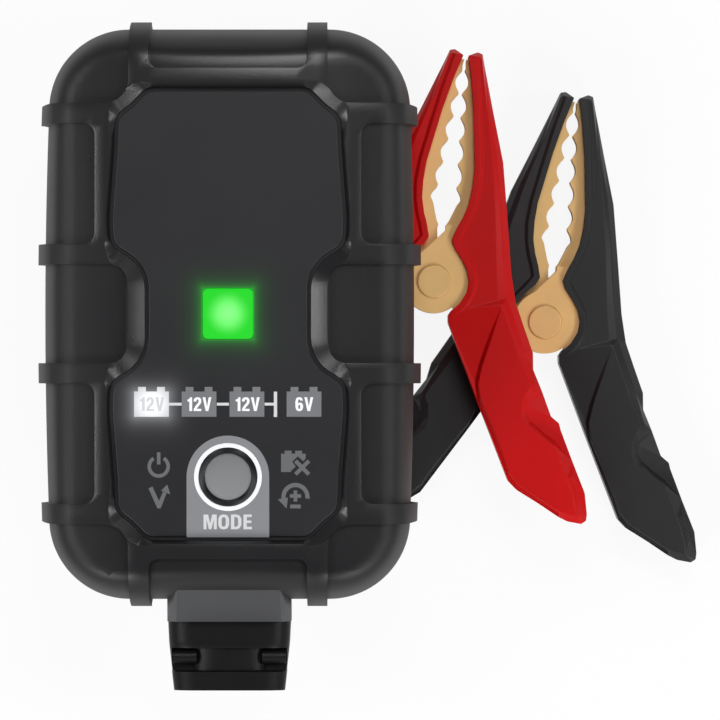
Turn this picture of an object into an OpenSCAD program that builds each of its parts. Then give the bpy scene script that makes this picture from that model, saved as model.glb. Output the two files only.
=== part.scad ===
// Plug-in car battery charger with two battery clamps, laid out face up.
// Units are millimetres. X runs across the charger, Y up its front, Z towards its front.
// The set rests on Z = 0, and its origin lies under the middle of its box. The modules draw the charger
// about its square charge light and each clamp about its pivot, and placed() moves them there.

/* [Housing] */
// Half the width of the housing between its ribs
half_w = 27.9; // [27:0.1:30]
// Half the height of the housing between its ribs
half_h = 44; // [43:0.1:47]
// Depth of the housing from its back to its crown
depth = 33; // [31:0.5:36]
// Radius of the housing's corners
corner_r = 12.5; // [11:0.5:14]
// How far the long sides bow out at mid height
barrel = 0.6; // [0.2:0.1:1]
// Wall thickness of both shells
wall = 2.2; // [1.8:0.1:2.6]
// Distance from the back to the parting line
split_up = 15.5; // [14.5:0.5:16.5]
// Radius of the crown across the front
crown_r = 130; // [110:5:200]

/* [Ribs and pads] */
// How far the ribs and the frame stand proud of the pads
rib_h = 1.1; // [0.8:0.1:1.4]
// Width of the ribs on the long sides
rib_w = 3.1; // [2.6:0.1:3.6]
// Height of the upper and lower ribs above and below the middle
outer_rib_y = 30.6; // [30:0.1:32]
// Height of the inner ribs above and below the middle
inner_rib_y = 9.1; // [8.8:0.1:9.6]
// Distance of the end ribs from the middle line
end_rib_x = 13.5; // [13:0.1:14]

/* [Label panel] */
// Half the width of the panel at its shoulders
panel_w = 18.15; // [17.6:0.05:18.4]
// Half the height of the panel
panel_h = 34.6; // [34:0.1:35]
// Half the width of the panel at its waist
waist_w = 12.35; // [12:0.05:12.8]
// Depth of the panel's face under the crown
panel_drop = 1.9; // [1.6:0.1:2.2]
// Thickness of the panel
panel_t = 1.4; // [1:0.1:1.6]

/* [Lights and button] */
// Side of the square charge light
charge_light = 7.7; // [7:0.1:8.4]
// Height of the row of mode lights below the charge light
mode_row_y = -13.8; // [-14.4:0.1:-13.2]
// Diameter of the button's dome
button_d = 7.1; // [6.4:0.1:7.4]
// Height of the button below the charge light
button_y = -24.9; // [-25.4:0.1:-24.4]
// Travel of the button
button_travel = 0.6; // [0.4:0.1:0.8]
// Radial clearance of the button in its bore
button_gap = 0.1; // [0.06:0.02:0.16]

/* [Mains plug] */
// Width of each blade
blade_w = 6.35; // [6:0.05:6.7]
// Thickness of each blade
blade_t = 1.52; // [1.4:0.02:1.65]
// Distance between the blades, centre to centre
blade_pitch = 12.7; // [12.5:0.1:13]
// Height of the blades above the middle
blade_y = 12; // [11:0.5:14]
// Height of the plug's boss on the back
boss_h = 2.2; // [1.8:0.1:2.6]

/* [Lead outlet] */
// Width of the strain relief's collar
relief_w = 19.1; // [18:0.1:20]
// Depth of the strain relief's collar
relief_d = 13; // [12:0.5:14]
// How far the strain relief reaches past the housing
relief_len = 14; // [12.5:0.5:16]
// Radius of the lead's passage
lead_r = 2.5; // [2.2:0.1:2.9]

/* [Clamps] */
// Thickness of a clamp
clamp_t = 9.6; // [9.2:0.1:10]
// Sheet thickness of the jaws
sheet = 0.8; // [0.7:0.05:0.9]
// Skin of the moulded covers
skin = 0.9; // [0.8:0.05:1]
// Radius of the round lobe about the pivot
lobe_r = 5; // [4.8:0.1:5.1]
// Radius of the pivot rivet
rivet_r = 1.6; // [1.4:0.1:1.8]
// Radius of the rivet's head
rivet_head_r = 2.7; // [2.5:0.1:3]
// Height of the rivet's head above the lobes
rivet_head_h = 0.45; // [0.3:0.05:0.6]
// Distance between the jaw's teeth
tooth_pitch = 3.7; // [3.6:0.05:3.8]
// Depth of the scallops between the teeth
tooth_depth = 0.85; // [0.6:0.05:1]
// Wire diameter of the torsion spring
spring_wire = 0.8; // [0.6:0.05:0.9]
// Lean of the clamps to the right
clamp_lean = 8; // [7:0.5:9]

/* [Hidden] */
$fn = 48;
eps = 0.02;
running_gap = 0.05; // radial, rivet in its holes
layer_gap = 0.25; // between two things that lie on each other
slide_gap = 0.2; // between sheets that slide on each other

// Heights of the charger, from the table up
back_z = 2 * (clamp_t + layer_gap);
split_z = back_z + split_up;
front_z = back_z + depth;
pad_z = front_z - rib_h;
panel_z = front_z - panel_drop;
seat_z = panel_z - panel_t;
inner_z = seat_z - 1.6;
floor_z = back_z + wall + 0.2;

// Board inside the housing
board_t = 1.6;
board_z = front_z - 11.7;
board_top = board_z + board_t;
board_w = 2 * (half_w - 6);
board_h = 2 * (half_h - 7);
post_x = half_w - 9.9;
post_y = half_h - 13;
post_r = 2.6;
pilot_r = 0.95;

// Parts that hang under the board. The round ones stand beside the posts, clear of them.
part_gap = 0.8;
input_can_r = 5;
input_can_h = 15;
output_can_r = 4;
output_can_h = 12;
fuse_r = 2.2;
fuse_h = 8;
choke_r = 4.6;
choke_h = 8;
rectifier = [8.5, 6.5, 3.2];
transistor = [10, 3, 12];
spreader = [12, 1.2, 15.5];

// Place of a round part of radius r beside a post, in the direction turn from it
function beside_post(r, turn) = [
    post_x - (post_r + r + part_gap) * cos(turn),
    post_y - (post_r + r + part_gap) * sin(turn)
];

// Clamp stack, measured from the middle of a clamp's thickness
half_t = clamp_t / 2;
outer_top = half_t - skin - running_gap; // top of the outer side plates
inner_top = outer_top - sheet - slide_gap; // top of the inner side plates
red_at = [31.8, 5.3, clamp_t * 1.5 + layer_gap];
black_at = [49.55, -1.05, half_t];

// The cover's solid is a chain of blocks. Each has its outline at mid thickness and its ridge line.
cover_blocks = [
    [[[0.5, 36.1], [3.1, 36.7], [5.8, 27.4], [8.65, 19.3], [9.8, 14.5], [10.9, 8.6], [1.7, 7]],
     [[0.6, 36], [2.1, 36.2], [4.2, 29.8], [6.5, 20.2], [8.3, 11.3], [8.4, 8.8], [1.9, 7.4]]],
    [[[1.7, 7], [10.9, 8.6], [12.3, 1.2], [13.5, -1.7], [2.9, -4.7]],
     [[1.9, 7.4], [8.4, 8.8], [8.9, 4.5], [9.8, 0.45], [11.5, -2.1], [3.6, -4.9]]],
    [[[2.9, -4.7], [13.5, -1.7], [15.4, -5.05], [17.2, -8.9], [17.6, -11.6], [19, -14.5], [9.5, -17.9],
      [6.2, -11.9]],
     [[3.9, -5], [11.5, -2.1], [17, -13.7], [10.6, -17.2], [7.3, -11.6]]],
    [[[9.5, -17.9], [19, -14.5], [21.3, -18.7], [22.9, -19.9], [12.3, -22.7]],
     [[10.6, -17.2], [17, -13.7], [16.9, -18.9], [17.8, -21], [22.4, -23], [13.4, -22.1]]],
    [[[12.3, -22.7], [22.9, -19.9], [28.4, -30.1], [29.3, -34.1], [28.6, -34.8], [24.9, -34.7],
      [17.8, -31.4], [15.7, -29.2]],
     [[13.4, -22.1], [22.4, -23], [24.9, -28.2], [26.9, -32.4], [25, -32.8], [18.4, -30], [16.7, -28.2]]],
];

// Sideways place of a point of a clamp, once it leans
function leant_x(place, p) = place[0] + p[0] * cos(clamp_lean) + p[1] * sin(clamp_lean);

// Middle of the whole set, seen from above
set_right = max([for (b = cover_blocks, p = b[0]) leant_x(black_at, p)]);
middle_x = (set_right - half_w - barrel - rib_h - 0.05) / 2;
middle_y = (rib_h - relief_len) / 2;

black_plastic = "#26272a";
dark_plastic = "#1c1d1f";
metal = "#c9a26d";
steel = "#b9bcc0";

// ---------------------------------------------------------------- shapes

module rounded_rect(w, h, r) {
    square([w - 2 * r, h], center = true);
    square([w, h - 2 * r], center = true);
    for (sx = [-1, 1], sy = [-1, 1])
        translate([sx * (w / 2 - r), sy * (h / 2 - r)]) circle(r);
}

// A rectangle from one corner to the other, with round corners
module pad_2d(x0, y0, x1, y1, r) {
    translate([(x0 + x1) / 2, (y0 + y1) / 2]) rounded_rect(abs(x1 - x0), abs(y1 - y0), r);
}

// Moves the set so that the origin lies under the middle of its box
module placed() {
    translate([-middle_x, -middle_y, 0]) children();
}

module four_ways() {
    for (sx = [0, 1], sy = [0, 1])
        mirror([sx, 0]) mirror([0, sy]) children();
}

// Thin slice of the housing's outline, drawn in by inset all round
module outline_slice(z, inset) {
    for (sx = [-1, 1], sy = [-1, 1])
        translate([sx * (half_w - corner_r), sy * (half_h - corner_r), z])
            cylinder(r = corner_r - inset, h = eps);
    for (sx = [-1, 1])
        translate([sx * (half_w + barrel - inset) - 0.05, -8, z]) cube([0.1, 16, eps]);
}

// Solid with the housing's outline through each [height, inset]
module blank(levels) {
    hull()
        for (level = levels)
            outline_slice(level[0] - (level == levels[0] ? 0 : eps), level[1]);
}

// Keeps what lies under the crown of the front
module under_crown(top) {
    intersection() {
        children();
        translate([0, 0, top - crown_r]) rotate([90, 0, 0])
            cylinder(r = crown_r, h = 4 * half_h, center = true, $fn = 200);
    }
}

// The lowered pads between the ribs, which run out past the housing's edge
module pads_2d() {
    far = half_w + 20;
    side_y0 = inner_rib_y + rib_w / 2;
    side_y1 = outer_rib_y - rib_w / 2;
    four_ways() {
        pad_2d(panel_w + 2, side_y0, far, side_y1, 1.8);
        pad_2d(end_rib_x + 1.6, outer_rib_y + rib_w / 2, far, far + 20, 3.5);
    }
    for (sx = [0, 1])
        mirror([sx, 0])
            pad_2d(waist_w + 2.95, rib_w / 2 - inner_rib_y, far, inner_rib_y - rib_w / 2, 2.6);
    for (sy = [0, 1])
        mirror([0, sy])
            pad_2d(-end_rib_x + 1.45, panel_h + 2.8, end_rib_x - 1.45, far + 20, 1.5);
}

// The panel's outline: broad shoulders, cut corners and a narrow waist
function panel_quarter() = [
    [waist_w, 0], [waist_w, 4.9], [waist_w + 0.55, 6.6], [waist_w + 1.55, 8.1],
    [waist_w + 3, 9.3], [panel_w - 0.85, 10.4], [panel_w, 11.8], [panel_w, 15.1],
    [panel_w - 0.75, 25.1], [panel_w - 0.95, 29.6], [panel_w - 1.55, 30.6],
    [panel_w - 4.05, panel_h - 2.5], [panel_w - 5.55, panel_h - 0.6], [panel_w - 5.55, panel_h],
];

module panel_2d() {
    q = panel_quarter();
    n = len(q);
    polygon(concat(
        [for (i = [0:n - 1]) q[i]],
        [for (i = [n - 1:-1:0]) [-q[i][0], q[i][1]]],
        [for (i = [1:n - 1]) [-q[i][0], -q[i][1]]],
        [for (i = [n - 1:-1:1]) [q[i][0], -q[i][1]]]
    ));
}

// A bar along Y from y0 to y1, at the height of the parting line
module along_lead(y0, y1) {
    translate([0, y1, split_z]) rotate([90, 0, 0]) linear_extrude(height = y1 - y0) children();
}

neck_w = relief_w - 5.3;
neck_d = relief_d - 4.2;
flange_t = 1.8;

module lead_neck_cut() {
    along_lead(-half_h - 4, -half_h + wall + 3) rounded_rect(neck_w, neck_d, 3);
}

// ---------------------------------------------------------------- charger shells

module front_housing() {
    color(black_plastic) placed()
    difference() {
        union() {
            under_crown(pad_z)
                blank([[split_z, 0], [pad_z - 5, 1.2], [pad_z - 1.2, 3.2], [pad_z, 5]]);
            intersection() {
                under_crown(front_z)
                    blank([[split_z, -rib_h], [front_z - 6, 0.1], [front_z - 1.8, 1.9], [front_z, 4]]);
                difference() {
                    translate([0, 0, split_z])
                        linear_extrude(height = depth)
                            square([4 * half_w, 4 * half_h], center = true);
                    translate([0, 0, split_z - 1])
                        linear_extrude(height = depth + 2) pads_2d();
                }
            }
        }
        // hollow inside
        blank([[split_z - 1, wall], [inner_z - 3, wall + 1.6], [inner_z, wall + 4]]);
        // recess for the label panel, with a bevelled mouth
        translate([0, 0, seat_z]) linear_extrude(height = 10) panel_2d();
        translate([0, 0, panel_z + 0.3])
            linear_extrude(height = 2, scale = [1.045, 1.028], slices = 1) panel_2d();
        // openings through the front wall
        translate([0, 0, inner_z - 1]) {
            linear_extrude(height = 5) rounded_rect(charge_light - 1.2, charge_light - 1.2, 0.6);
            translate([0, button_y, 0]) cylinder(r = button_d / 2 + button_gap, h = 5);
            for (x = mode_lights_x)
                translate([x, mode_row_y, 0]) cylinder(r = 1.2, h = 5, $fn = 24);
            for (p = fault_lights)
                translate([p[0], p[1], 0]) cylinder(r = 1, h = 5, $fn = 24);
        }
        lead_neck_cut();
    }
}

module rear_housing() {
    color(black_plastic) placed()
    difference() {
        union() {
            difference() {
                union() {
                    blank([[back_z, 4.4], [back_z + 1.6, 2.2], [split_z, 0]]);
                    // ribs run on down the sides
                    intersection() {
                        blank([[back_z + 1, 3.2], [back_z + 3, 1.2], [split_z, -rib_h]]);
                        difference() {
                            translate([0, 0, back_z])
                                linear_extrude(height = split_up)
                                    square([4 * half_w, 4 * half_h], center = true);
                            translate([0, 0, back_z - 1])
                                linear_extrude(height = split_up + 2) pads_2d();
                        }
                    }
                }
                blank([[floor_z, wall + 3], [floor_z + 3, wall + 1.2], [split_z + 1, wall]]);
            }
            // lip that locates the front shell
            difference() {
                blank([[split_z - 2, wall + 0.12], [split_z + 1.4, wall + 0.55]]);
                blank([[split_z - 3, wall + 1.2], [split_z + 3, wall + 1.5]]);
                translate([-neck_w, -half_h - 1, split_z - 4]) cube([2 * neck_w, 8, 8]);
            }
            // posts that carry the board
            four_ways()
                translate([post_x, post_y, floor_z - 0.5]) cylinder(r = post_r, h = board_z - floor_z + 0.5);
        }
        four_ways()
            translate([post_x, post_y, board_z - 9]) cylinder(r = pilot_r, h = 10, $fn = 24);
        // window for the blade carrier
        translate([0, blade_y, back_z - 1]) linear_extrude(height = wall + 3) carrier_2d(0.1);
        lead_neck_cut();
    }
}

// ---------------------------------------------------------------- label panel and lights

mode_lights_x = [-11.65, -4.4, 2.9, 11.6];
fault_lights = [[-10.55, -23.15], [-10.5, -28.05], [10.45, -22.75], [10.3, -27.9]];

// A small battery: a body with two posts
module battery_2d(grow = 0) {
    square([5.3 + 2 * grow, 3.85 + 2 * grow], center = true);
    for (sx = [-1, 1])
        translate([sx * 1.45, 2.25]) square([1.2 + 2 * grow, 0.75 + 2 * grow], center = true);
}

module front_panel() {
    panel_gap = 0.08;
    color("#303134") placed()
    difference() {
        translate([0, 0, seat_z]) linear_extrude(height = panel_t)
            resize_panel(panel_gap) panel_2d();
        translate([0, 0, seat_z - 1]) {
            linear_extrude(height = panel_t + 2)
                rounded_rect(charge_light + 0.1, charge_light + 0.1, 0.85);
            translate([0, button_y, 0]) cylinder(r = button_d / 2 + 1.7, h = panel_t + 2);
            for (x = mode_lights_x)
                translate([x, mode_row_y, 0]) linear_extrude(height = panel_t + 2) battery_2d(0.04);
            for (p = fault_lights)
                translate([p[0], p[1], 0]) linear_extrude(height = panel_t + 2)
                    rounded_rect(4.58, 4.08, 0.6);
        }
    }
}

// Draws an outline in by a small gap, in proportion to its size
module resize_panel(gap) {
    scale([(panel_w - gap) / panel_w, (panel_h - gap) / panel_h]) children();
}

module charge_light_lens() {
    color("#35e04a") placed() {
        translate([0, 0, seat_z]) linear_extrude(height = panel_t + 0.1)
            rounded_rect(charge_light, charge_light, 0.8);
        translate([0, 0, inner_z - 0.4]) linear_extrude(height = seat_z - inner_z + 0.5)
            rounded_rect(charge_light - 1.3, charge_light - 1.3, 0.55);
    }
}

module mode_light_windows() {
    color("#8d9095") placed()
    for (x = mode_lights_x)
        translate([x, mode_row_y, seat_z]) {
            linear_extrude(height = panel_t + 0.05) battery_2d();
            translate([0, 0, inner_z - seat_z]) cylinder(r = 1.15, h = seat_z - inner_z + 0.1, $fn = 24);
        }
}

module fault_light_windows() {
    color("#3a3b3e") placed()
    for (p = fault_lights)
        translate([p[0], p[1], seat_z]) {
            linear_extrude(height = panel_t) rounded_rect(4.5, 4, 0.55);
            translate([0, 0, inner_z - seat_z]) cylinder(r = 0.95, h = seat_z - inner_z + 0.1, $fn = 24);
        }
}

module led_package(w) {
    translate([-w / 2, -w / 2, board_top]) cube([w, w, 1.1]);
    translate([0, 0, board_top + 1]) cylinder(r = w * 0.36, h = 0.5, $fn = 24);
}

module indicator_leds() {
    color("#f2efe2") placed() {
        led_package(3);
        for (x = mode_lights_x)
            translate([x, mode_row_y, 0]) led_package(2);
        for (p = fault_lights)
            translate([p[0], p[1], 0]) led_package(1.8);
    }
}

// Block of light shafts between the board and the front wall
module light_guide() {
    guide_z = board_top + 1.8;
    color("#ececea") placed()
    difference() {
        translate([0, button_y / 2 - 1, guide_z])
            linear_extrude(height = inner_z - 0.45 - guide_z) rounded_rect(31, 37, 3);
        translate([0, 0, guide_z - 1]) {
            linear_extrude(height = 9) rounded_rect(charge_light - 1, charge_light - 1, 0.6);
            translate([0, button_y, 0]) cylinder(r = button_d / 2 + 1.8, h = 9);
            for (x = mode_lights_x)
                translate([x, mode_row_y, 0]) cylinder(r = 1.3, h = 9, $fn = 24);
            for (p = fault_lights)
                translate([p[0], p[1], 0]) cylinder(r = 1.1, h = 9, $fn = 24);
        }
    }
    color("#ececea") placed()
    for (sx = [-1, 1], y = [4, -29])
        translate([sx * 14, y, board_top]) cylinder(r = 1.1, h = guide_z - board_top + 0.1, $fn = 24);
}

// ---------------------------------------------------------------- button

module mode_button() {
    dome = 0.9;
    stem_r = button_d / 2;
    dome_r = (stem_r * stem_r + dome * dome) / (2 * dome);
    top = panel_z + 0.15;
    color("#77797d") placed()
    translate([0, button_y, 0]) {
        intersection() {
            translate([0, 0, inner_z - 1.2]) cylinder(r = stem_r, h = top - inner_z + 1.2);
            translate([0, 0, top - dome_r]) sphere(dome_r, $fn = 120);
        }
        translate([0, 0, inner_z - 1.25]) cylinder(r = stem_r + 1.1, h = 0.9);
    }
}

module button_bezel() {
    color("#e9eaec") placed()
    translate([0, button_y, seat_z])
        difference() {
            cylinder(r = button_d / 2 + 1.65, h = panel_t + 0.08);
            translate([0, 0, -1]) cylinder(r = button_d / 2 + 0.95, h = panel_t + 3);
        }
}

module button_switch() {
    switch_top = inner_z - 1.25 - button_travel - 0.25;
    color("#c8cacd") placed()
    translate([0, button_y, board_top]) {
        translate([-3, -3, 0]) cube([6, 6, 2.6]);
        cylinder(r = 1.7, h = switch_top - board_top, $fn = 32);
    }
}

// ---------------------------------------------------------------- board and what it carries

module main_board() {
    color("#1d6b3c") placed()
    difference() {
        translate([0, 0, board_z]) linear_extrude(height = board_t)
            rounded_rect(board_w, board_h, 8);
        four_ways()
            translate([post_x, post_y, board_z - 1]) cylinder(r = 1.15, h = board_t + 2, $fn = 24);
    }
}

module board_screws() {
    color(steel) placed()
    four_ways()
        translate([post_x, post_y, board_top]) {
            translate([0, 0, -7]) cylinder(r = 0.9, h = 7.1, $fn = 24);
            difference() {
                cylinder(r = 1.9, h = 1.3, $fn = 32);
                translate([-1.3, -0.25, 0.7]) cube([2.6, 0.5, 1]);
                translate([-0.25, -1.3, 0.7]) cube([0.5, 2.6, 1]);
            }
        }
}

core_w = 18;
core_d = 15;
core_h = 14.4;
core_at = [-8, -11];

// Two E shapes that meet round the winding
module transformer_core() {
    color("#4a4c50") placed()
    translate([core_at[0], core_at[1], board_z - core_h]) {
        difference() {
            translate([-core_w / 2, -2.6, 0]) cube([core_w, 5.2, core_h]);
            for (sx = [-1, 1])
                translate([sx * 4.65 - 2.05, -3, 2.4]) cube([4.1, 6, core_h - 4.8]);
        }
    }
}

module transformer_winding() {
    color("#d8b23c") placed()
    translate([core_at[0], core_at[1], board_z - core_h + 2.6])
        difference() {
            linear_extrude(height = core_h - 5.2) rounded_rect(13, core_d, 2);
            translate([-2.7, -2.7, -1]) cube([5.4, 5.4, core_h]);
            for (sx = [-1, 1])
                translate([sx * 7.95 - 1.35, -2.7, -1]) cube([2.7, 5.4, core_h]);
        }
}

// Round can that hangs from the board, with a crimped groove near its foot
module can(r, h) {
    rotate([180, 0, 0])
        rotate_extrude()
            polygon([[0, 0], [r, 0], [r, 1], [r - 0.35, 1.5], [r, 2], [r, h - 0.4], [r - 0.4, h], [0, h]]);
}

module input_capacitor() {
    at = beside_post(input_can_r, 54);
    color("#33363c") placed() translate([at[0], at[1], board_z]) can(input_can_r, input_can_h);
}

module output_capacitor() {
    at = beside_post(output_can_r, 42);
    color("#2b3d66") placed() translate([at[0], -at[1], board_z]) can(output_can_r, output_can_h);
}

module line_fuse() {
    color("#6b4a30") placed() translate([-1, post_y - fuse_r - part_gap, board_z]) can(fuse_r, fuse_h);
}

module line_choke() {
    at = beside_post(choke_r, 42);
    waist_r = choke_r - 1;
    color("#b06a2c") placed()
    translate([-at[0], at[1], board_z - choke_h])
        difference() {
            rotate_extrude()
                polygon([
                    [0, 0], [choke_r, 0], [choke_r, 1.2], [waist_r, 1.9],
                    [waist_r, choke_h - 1.9], [choke_r, choke_h - 1.2], [choke_r, choke_h], [0, choke_h],
                ]);
            translate([0, 0, -1]) cylinder(r = 1.2, h = 3, $fn = 24);
        }
}

module bridge_rectifier() {
    color("#2a2b2d") placed() translate([post_x - 5.5, 7, board_z - rectifier[2]]) cube(rectifier);
}

// Flat package on edge against its heat spreader
module switching_transistor() {
    color("#303236") placed() {
        translate([6, -6.5 - transistor[1], board_z - transistor[2]]) cube(transistor);
        translate([5, -6.5, board_z - spreader[2]]) cube(spreader);
    }
}

module control_chips() {
    chips = [[[-13, 13], [7, 5, 1.6]], [[5, 14], [8, 8, 1.4]], [[-15, 24], [4.5, 4, 1.5]]];
    color("#232427") placed()
    for (chip = chips)
        translate([chip[0][0], chip[0][1], board_top]) cube(chip[1]);
}

// ---------------------------------------------------------------- mains plug

module carrier_2d(grow) {
    rounded_rect(blade_pitch + 13 + 2 * grow, blade_w + 12 + 2 * grow, 4 + grow);
}

module blade_slots(grow) {
    for (sx = [-1, 1])
        translate([sx * blade_pitch / 2, 0])
            square([blade_t + 2 * grow, blade_w + 2 * grow], center = true);
}

// Insulating block that holds the blades: a flange inside, a low boss outside
module blade_carrier() {
    color(dark_plastic) placed()
    translate([0, blade_y, 0])
        difference() {
            union() {
                translate([0, 0, back_z - boss_h])
                    linear_extrude(height = boss_h + floor_z - back_z + 0.1) carrier_2d(0);
                translate([0, 0, floor_z + 0.02]) linear_extrude(height = 2.4) carrier_2d(1.8);
            }
            translate([0, 0, back_z - boss_h - 1]) linear_extrude(height = 20) blade_slots(0);
        }
}

// Two flat blades with bevelled tips and a round hole each
module plug_blades() {
    blade_top = floor_z + 7.5;
    color(steel) placed()
    translate([0, blade_y, 0])
        for (sx = [-1, 1])
            translate([sx * blade_pitch / 2, 0, 0])
                difference() {
                    rotate([0, -90, 0]) linear_extrude(height = blade_t, center = true)
                        polygon([
                            [0, -blade_w / 2 + 1.6], [1.6, -blade_w / 2], [blade_top, -blade_w / 2],
                            [blade_top, blade_w / 2], [1.6, blade_w / 2], [0, blade_w / 2 - 1.6],
                        ]);
                    translate([0, 0, 5]) rotate([0, 90, 0])
                        cylinder(r = 1.6, h = 3 * blade_t, center = true, $fn = 32);
                    translate([0, 0, blade_top - 2.6]) rotate([0, 90, 0])
                        cylinder(r = 1, h = 3 * blade_t, center = true, $fn = 24);
                }
}

// ---------------------------------------------------------------- lead outlet

// Collar, body, core and ribs of the boot: each from and to below the housing, narrower and thinner
relief_ribs = [
    [0.4, 3.4, 0, 0], [3.3, 7.5, 0.6, 2.2], [7.4, relief_len, 2.4, 4.4],
    [7.7, 10.3, 1.2, 1.6], [11, relief_len, 2.3, 2.4],
];

// Ribbed boot that the lead leaves through, held in the wall by its neck
module strain_relief() {
    y0 = -half_h;
    end_y = y0 - relief_len;
    color(dark_plastic) placed()
    difference() {
        union() {
            along_lead(y0 + wall + 0.9, y0 + wall + flange_t + 0.9)
                rounded_rect(relief_w - 1.5, neck_d + 1.4, 3);
            along_lead(y0 - 0.6, y0 + wall + 1.1) rounded_rect(neck_w - 0.1, neck_d - 0.1, 2.95);
            for (rib = relief_ribs)
                along_lead(y0 - rib[1], y0 - rib[0]) rounded_rect(relief_w - rib[2], relief_d - rib[3], 3);
        }
        along_lead(end_y - 1, y0 + wall + 3) circle(lead_r);
        // the middle rib is broken by a wide notch on each flat side
        for (sz = [-1, 1])
            translate([-relief_w / 2 + 6, y0 - 10.4, split_z + sz * relief_d / 2 - 2])
                cube([relief_w - 12, 2.8, 4]);
    }
}

// ---------------------------------------------------------------- clamps

// Inner edge of a jaw: five scallops that grow wider towards the pivot
function tooth_edge(y) = 0.2 + 0.078 * max(0, 30.4 - y)
    + tooth_depth * abs(sin(180 * (y - 15.1) / tooth_pitch));

function jaw_inner() = concat(
    [[0.55, 8.9], [1, 9.8], [1.9, 12.4]],
    [for (i = [0:50]) let (y = 13.2 + i * (33.6 - 13.2) / 50) [tooth_edge(y), y]],
    [[0.3, 34.2], [0.15, 35.3]]
);

// Outer edge of the jaw's sheet, hidden in the cover
jaw_outer = [[1.4, 35.3], [2.6, 30], [4.4, 24], [5.9, 19], [7.2, 13], [7.8, 8.3]];
handle_outer = [[7.8, 8.3], [8.6, 0], [10.3, -4], [13.9, -12.8], [17.2, -19.8], [20.6, -26.4]];
handle_inner = [[17.3, -27.8], [13.8, -22.2], [10.9, -17.4], [7.5, -11.4], [5, -6.6], [3.4, -3.4]];

// A wall of even thickness inside a line of points
function wall_along(line, t) = concat(
    line,
    [for (i = [len(line) - 1:-1:0]) line[i] - [t, 0]]
);

edge_drop = 2; // how far the outer edge lies below the ridge

// A slab through the points, the given height either side of the middle
module slab(points, half_height) {
    linear_extrude(height = 2 * half_height, center = true) polygon(points);
}

module cover_body() {
    for (b = cover_blocks)
        hull() {
            slab(b[0], half_t - edge_drop);
            slab(b[1], half_t);
        }
}

// The open mouth between the covers, down to the round seat of the lobe
module cover_mouth() {
    slab([
        [-3, 38], [0.45, 38], [0.5, 36.1], [1.9, 30.2], [2.7, 25.8], [3.5, 19.8],
        [3.5, 12.7], [1.85, 7.95], [1.7, 7], [2.5, 4.6], [-3, 4.6],
    ], clamp_t);
    cylinder(r = lobe_r + 0.35, h = 2 * clamp_t, center = true, $fn = 96);
    slab([[-4, 0], [4, 0], [3.9, -3.6], [2.9, -4.7], [2.2, -6], [-4, -6]], clamp_t);
}

// Room in a cover for the sheet of its own arm
module cover_pocket(handle_top) {
    slab(concat(jaw_outer, [[0, 8.3], [0, 35.3]]), inner_top);
    slab(concat([[7.75, 9.15]], handle_outer, handle_inner, [[0, 0], [0, 9.15]]), handle_top);
}

module arm_cover(handle_top) {
    difference() {
        cover_body();
        cover_mouth();
        cover_pocket(handle_top);
        ferrule_axis() cylinder(r = 1.7, h = 30, $fn = 32);
    }
}

// One arm's sheet metal: toothed jaw plates, lobe and handle plates, joined by an outer wall
module arm_jaw(lobe_top, has_point) {
    difference() {
        union() {
            for (side = [-1, 1])
                translate([0, 0, side * (inner_top - sheet / 2)])
                    slab(concat(jaw_inner(), jaw_outer), sheet / 2);
            slab(wall_along(jaw_outer, sheet), inner_top - sheet / 2);
            for (side = [-1, 1])
                translate([0, 0, side * (lobe_top - sheet / 2)]) {
                    cylinder(r = lobe_r, h = sheet, center = true, $fn = 96);
                    slab(concat(handle_outer, handle_inner,
                        [[0, -3], [-0.5, 2], has_point ? [-2.35, 4.4] : [0, 4.4], [0.66, 8.3]]), sheet / 2);
                }
            slab(wall_along(handle_outer, sheet), lobe_top - sheet / 2);
            // step from the jaw plates out to the lobe plates
            for (side = [-1, 1])
                translate([0, 0, side * (inner_top - sheet + lobe_top) / 2])
                    slab([[0.66, 8.3], [7.8, 8.3], [7.72, 9.1], [0.62, 9.1]],
                        (lobe_top - inner_top + sheet) / 2);
        }
        cylinder(r = rivet_r + running_gap, h = 2 * clamp_t, center = true);
        ferrule_axis() translate([0, 0, 4]) cylinder(r = 1.7, h = 30, $fn = 32);
    }
}

module pivot_rivet() {
    cylinder(r = rivet_r, h = 2 * outer_top + 0.2, center = true);
    for (side = [0, 1])
        mirror([0, 0, side])
            translate([0, 0, outer_top + 0.02])
                rotate_extrude($fn = 64)
                    polygon([
                        [0, 0], [rivet_head_r, 0], [rivet_head_r, rivet_head_h - 0.2],
                        [rivet_head_r - 0.2, rivet_head_h], [0, rivet_head_h],
                    ]);
}

// Centre line of the torsion spring: a leg, the coils and a leg
spring_turns = 3.5;
spring_r = 3.3;
spring_steps = 10; // per turn
function spring_path() =
    let (
        room = 2 * (inner_top - sheet) - spring_wire - 0.2,
        last = spring_turns * spring_steps
    )
    concat(
        [[-8.6, -9.2, -room / 2], [-7, -6.4, -room / 2], [-5, -3.2, -room / 2]],
        [for (i = [0:last]) let (a = 180 + 20 + 360 * i / spring_steps)
            [spring_r * cos(a), spring_r * sin(a), room * (i / last - 0.5)]],
        [[5, -3.2, room / 2], [7, -6.4, room / 2], [8.6, -9.2, room / 2]]
    );

function unit(v) = v / norm(v);

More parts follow.
